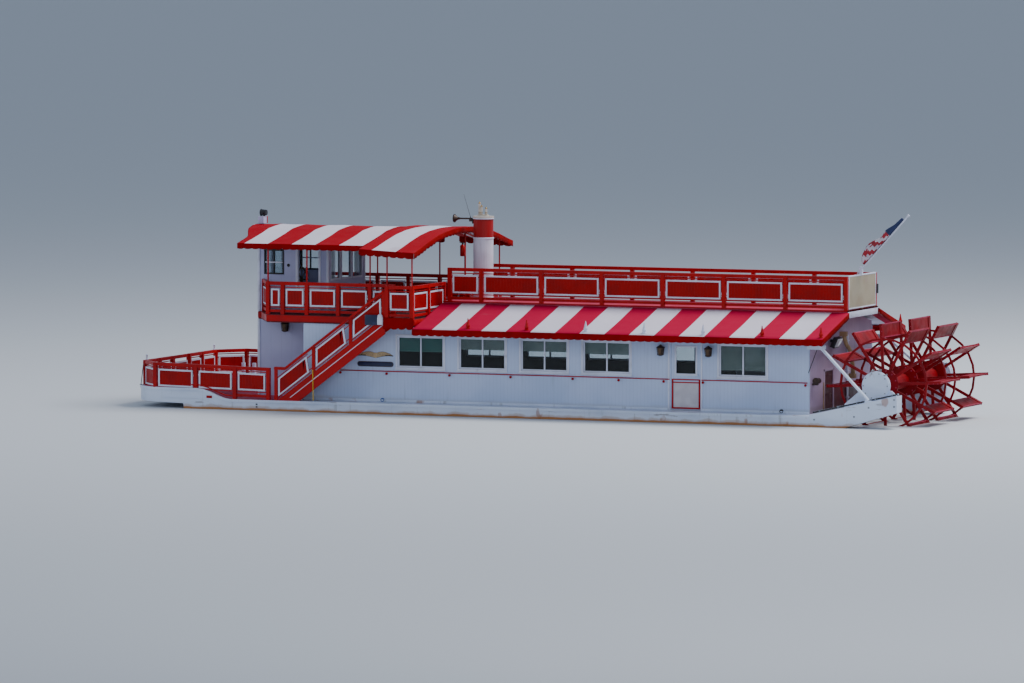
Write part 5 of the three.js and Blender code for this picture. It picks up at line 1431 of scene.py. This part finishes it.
def eased(table, place, reach):
    """The table's value, averaged over a short reach so that the cloth has no creases."""
    return sum(along_line(table, min(abs(place + reach * k / 3), table[-1][0])) for k in range(-3, 4)) / 7


FORE_HALF, AFT_HALF = 2.5, 3.5
FORE_CANOPY_AFT = 4.455
AFT_CANOPY_FRONT, AFT_CANOPY_BACK = 4.445, 2.865
FORE_CROWN, FORE_DROP = 5.585, 0.405
AFT_CROWN, AFT_EAVE, AFT_EAVE_FALL = 5.60, 5.15, 0.08
FORE_BOWS = (FORE_CANOPY_AFT, 4.57, 6.40, 7.53, 8.27, 8.97)
AFT_BOWS = (AFT_CANOPY_BACK, 3.07, 3.825, AFT_CANOPY_FRONT)


def fore_canopy(u, v):
    y = FORE_HALF * (2 * v - 1)
    out = abs(y) / FORE_HALF
    x = FORE_CANOPY_AFT + (eased(FORE_NOSE, abs(y), 0.12) - FORE_CANOPY_AFT) * u
    z = FORE_CROWN - FORE_DROP * eased(FORE_PROFILE, out, 0.05 * (1 - out))
    return Vector((x, y, z - sag(x, FORE_BOWS, 0.012) * (1 - out ** 4)))


def aft_canopy(u, v):
    y = AFT_HALF * (2 * v - 1)
    out = abs(y) / AFT_HALF
    x = AFT_CANOPY_FRONT + (AFT_CANOPY_BACK - AFT_CANOPY_FRONT) * u
    eave = AFT_EAVE - AFT_EAVE_FALL * u
    z = AFT_CROWN - (AFT_CROWN - eave) * eased(AFT_PROFILE, out, 0.04 * (1 - out))
    return Vector((x, y, z - sag(x, AFT_BOWS, 0.010) * (1 - out ** 4)))


def make_canopies():
    hems = ["left", "right", "end"]
    canvas("canopy_fore_cloth", "canopy_fore", "canopy_cloth", fore_canopy, 100, 96, hems,
           drop=0.12, tab=0.035)
    canvas("canopy_aft_cloth", "canopy_aft", "canopy_cloth", aft_canopy, 36, 160, hems,
           drop=0.135, tab=0.035)


VALANCE_AFT, VALANCE_LONG, VALANCE_DEEP = 3.03, 0.87, 0.20
VALANCE_SIDE, VALANCE_TOP = 3.140, 3.325


def make_landing_valances():
    """A red cloth hangs along the edge of each landing."""
    for side, sign in (("port", 1), ("starboard", -1)):
        def surface(u, v):
            out = VALANCE_SIDE + 0.004 * math.sin(21 * u) * v
            return Vector((VALANCE_AFT + VALANCE_LONG * u, sign * out, VALANCE_TOP - VALANCE_DEEP * v))
        canvas(f"landing_valance_{side}", None, "valance", surface, 40, 4, ["right"],
               drop=0.055, tab=0.06)


make_awnings()
make_canopies()
make_landing_valances()


# The flag, gathered in folds along its staff.
STAFF_FOOT, STAFF_HEAD = Vector((-8.405, 0, 4.68)), Vector((-9.72, 0, 6.13))
# share of the staff's length, how far the folds stand off it
FLAG_REACH = [
    (0.10, 0.15), (0.20, 0.30), (0.30, 0.33), (0.42, 0.27), (0.55, 0.17), (0.66, 0.20), (0.78, 0.14),
    (0.92, 0.09)]
FLAG_FOLDS, FOLD_STEPS, FLAG_STEPS = 9, 4, 56
FLAG_CLEAR = 0.026
FLAG_STRIPES, FLAG_HEAD = 9, 0.66


def flag_point(t, fold):
    """t runs up the flag and fold counts the half folds; each goes out from the staff or back to it."""
    way = (STAFF_HEAD - STAFF_FOOT).normalized()
    off = Vector((way.z, 0, -way.x))
    share = FLAG_REACH[0][0] + (FLAG_REACH[-1][0] - FLAG_REACH[0][0]) * t
    swing = (1 - math.cos(math.pi * fold)) / 2
    vary = 1 - 0.28 * abs(math.sin(2.1 * round(fold) + 3.0 * t))
    out = FLAG_CLEAR + (eased(FLAG_REACH, share, 0.03) * vary - FLAG_CLEAR) * swing
    across = (fold / (2 * FLAG_FOLDS) - 0.5) * 0.085 * (0.7 + 0.3 * math.sin(5 * t + fold))
    along = share * (STAFF_HEAD - STAFF_FOOT).length + 0.015 * math.sin(fold * 1.7)
    return STAFF_FOOT + way * along + off * out + Vector((0, across, 0))


def make_flag():
    piece = start("flag_cloth")
    mesh = bmesh.from_edit_mesh(piece.data)
    columns = 2 * FLAG_FOLDS * FOLD_STEPS
    rows = [
        [mesh.verts.new(flag_point(i / FLAG_STEPS, k / FOLD_STEPS)) for k in range(columns + 1)]
        for i in range(FLAG_STEPS + 1)]
    for i in range(FLAG_STEPS):
        for k in range(columns):
            face = mesh.faces.new((rows[i][k], rows[i + 1][k], rows[i + 1][k + 1], rows[i][k + 1]))
            lean = (1 - math.cos(math.pi * (k + 0.5) / FOLD_STEPS)) / 2
            stripe = int(i / FLAG_STEPS * FLAG_STRIPES + 1.5 * lean) % 2
            face.material_index = 2 if i > FLAG_STEPS * FLAG_HEAD else stripe
    bmesh.update_edit_mesh(piece.data)
    thicken(piece, FLAG_THICK)
    for finish in ("ensign_red", "ensign_white", "ensign_blue"):
        piece.data.materials.append(FINISHES[finish].material)
    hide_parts("flag")
    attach(piece, "boat")


make_flag()


# Stage: the water's level as a plain floor, the sky and three large lamps.
FLOOR_SIZE = 1800
SKY, SKY_STRENGTH = (0.66, 0.79, 1.0, 1), 0.52
# name, place, size, power
LIGHTS = [
    ("key", (-26, -14, 52), 26, 40000),
    ("front", (-40, 60, 26), 30, 6500),
    ("bow", (46, 26, 20), 26, 3600),
]


def make_stage():
    bpy.ops.object.select_all(action="DESELECT")
    bpy.ops.mesh.primitive_plane_add(size=FLOOR_SIZE, location=(0, 0, WATERLINE))
    floor = bpy.context.active_object
    floor.name = "floor"
    floor.data.materials.append(Finish("floor", "#c3c7cc", 0.9).material)
    world = bpy.data.worlds.new("studio")
    bpy.context.scene.world = world
    world.use_nodes = True
    background = world.node_tree.nodes["Background"]
    background.inputs["Color"].default_value = SKY
    background.inputs["Strength"].default_value = SKY_STRENGTH
    for name, place, size, power in LIGHTS:
        data = bpy.data.lights.new(name, "AREA")
        data.size = size
        data.energy = power
        lamp = bpy.data.objects.new(name, data)
        bpy.context.scene.collection.objects.link(lamp)
        lamp.location = place
        lamp.rotation_euler = (-Vector(place)).to_track_quat("-Z", "Y").to_euler()


make_stage()
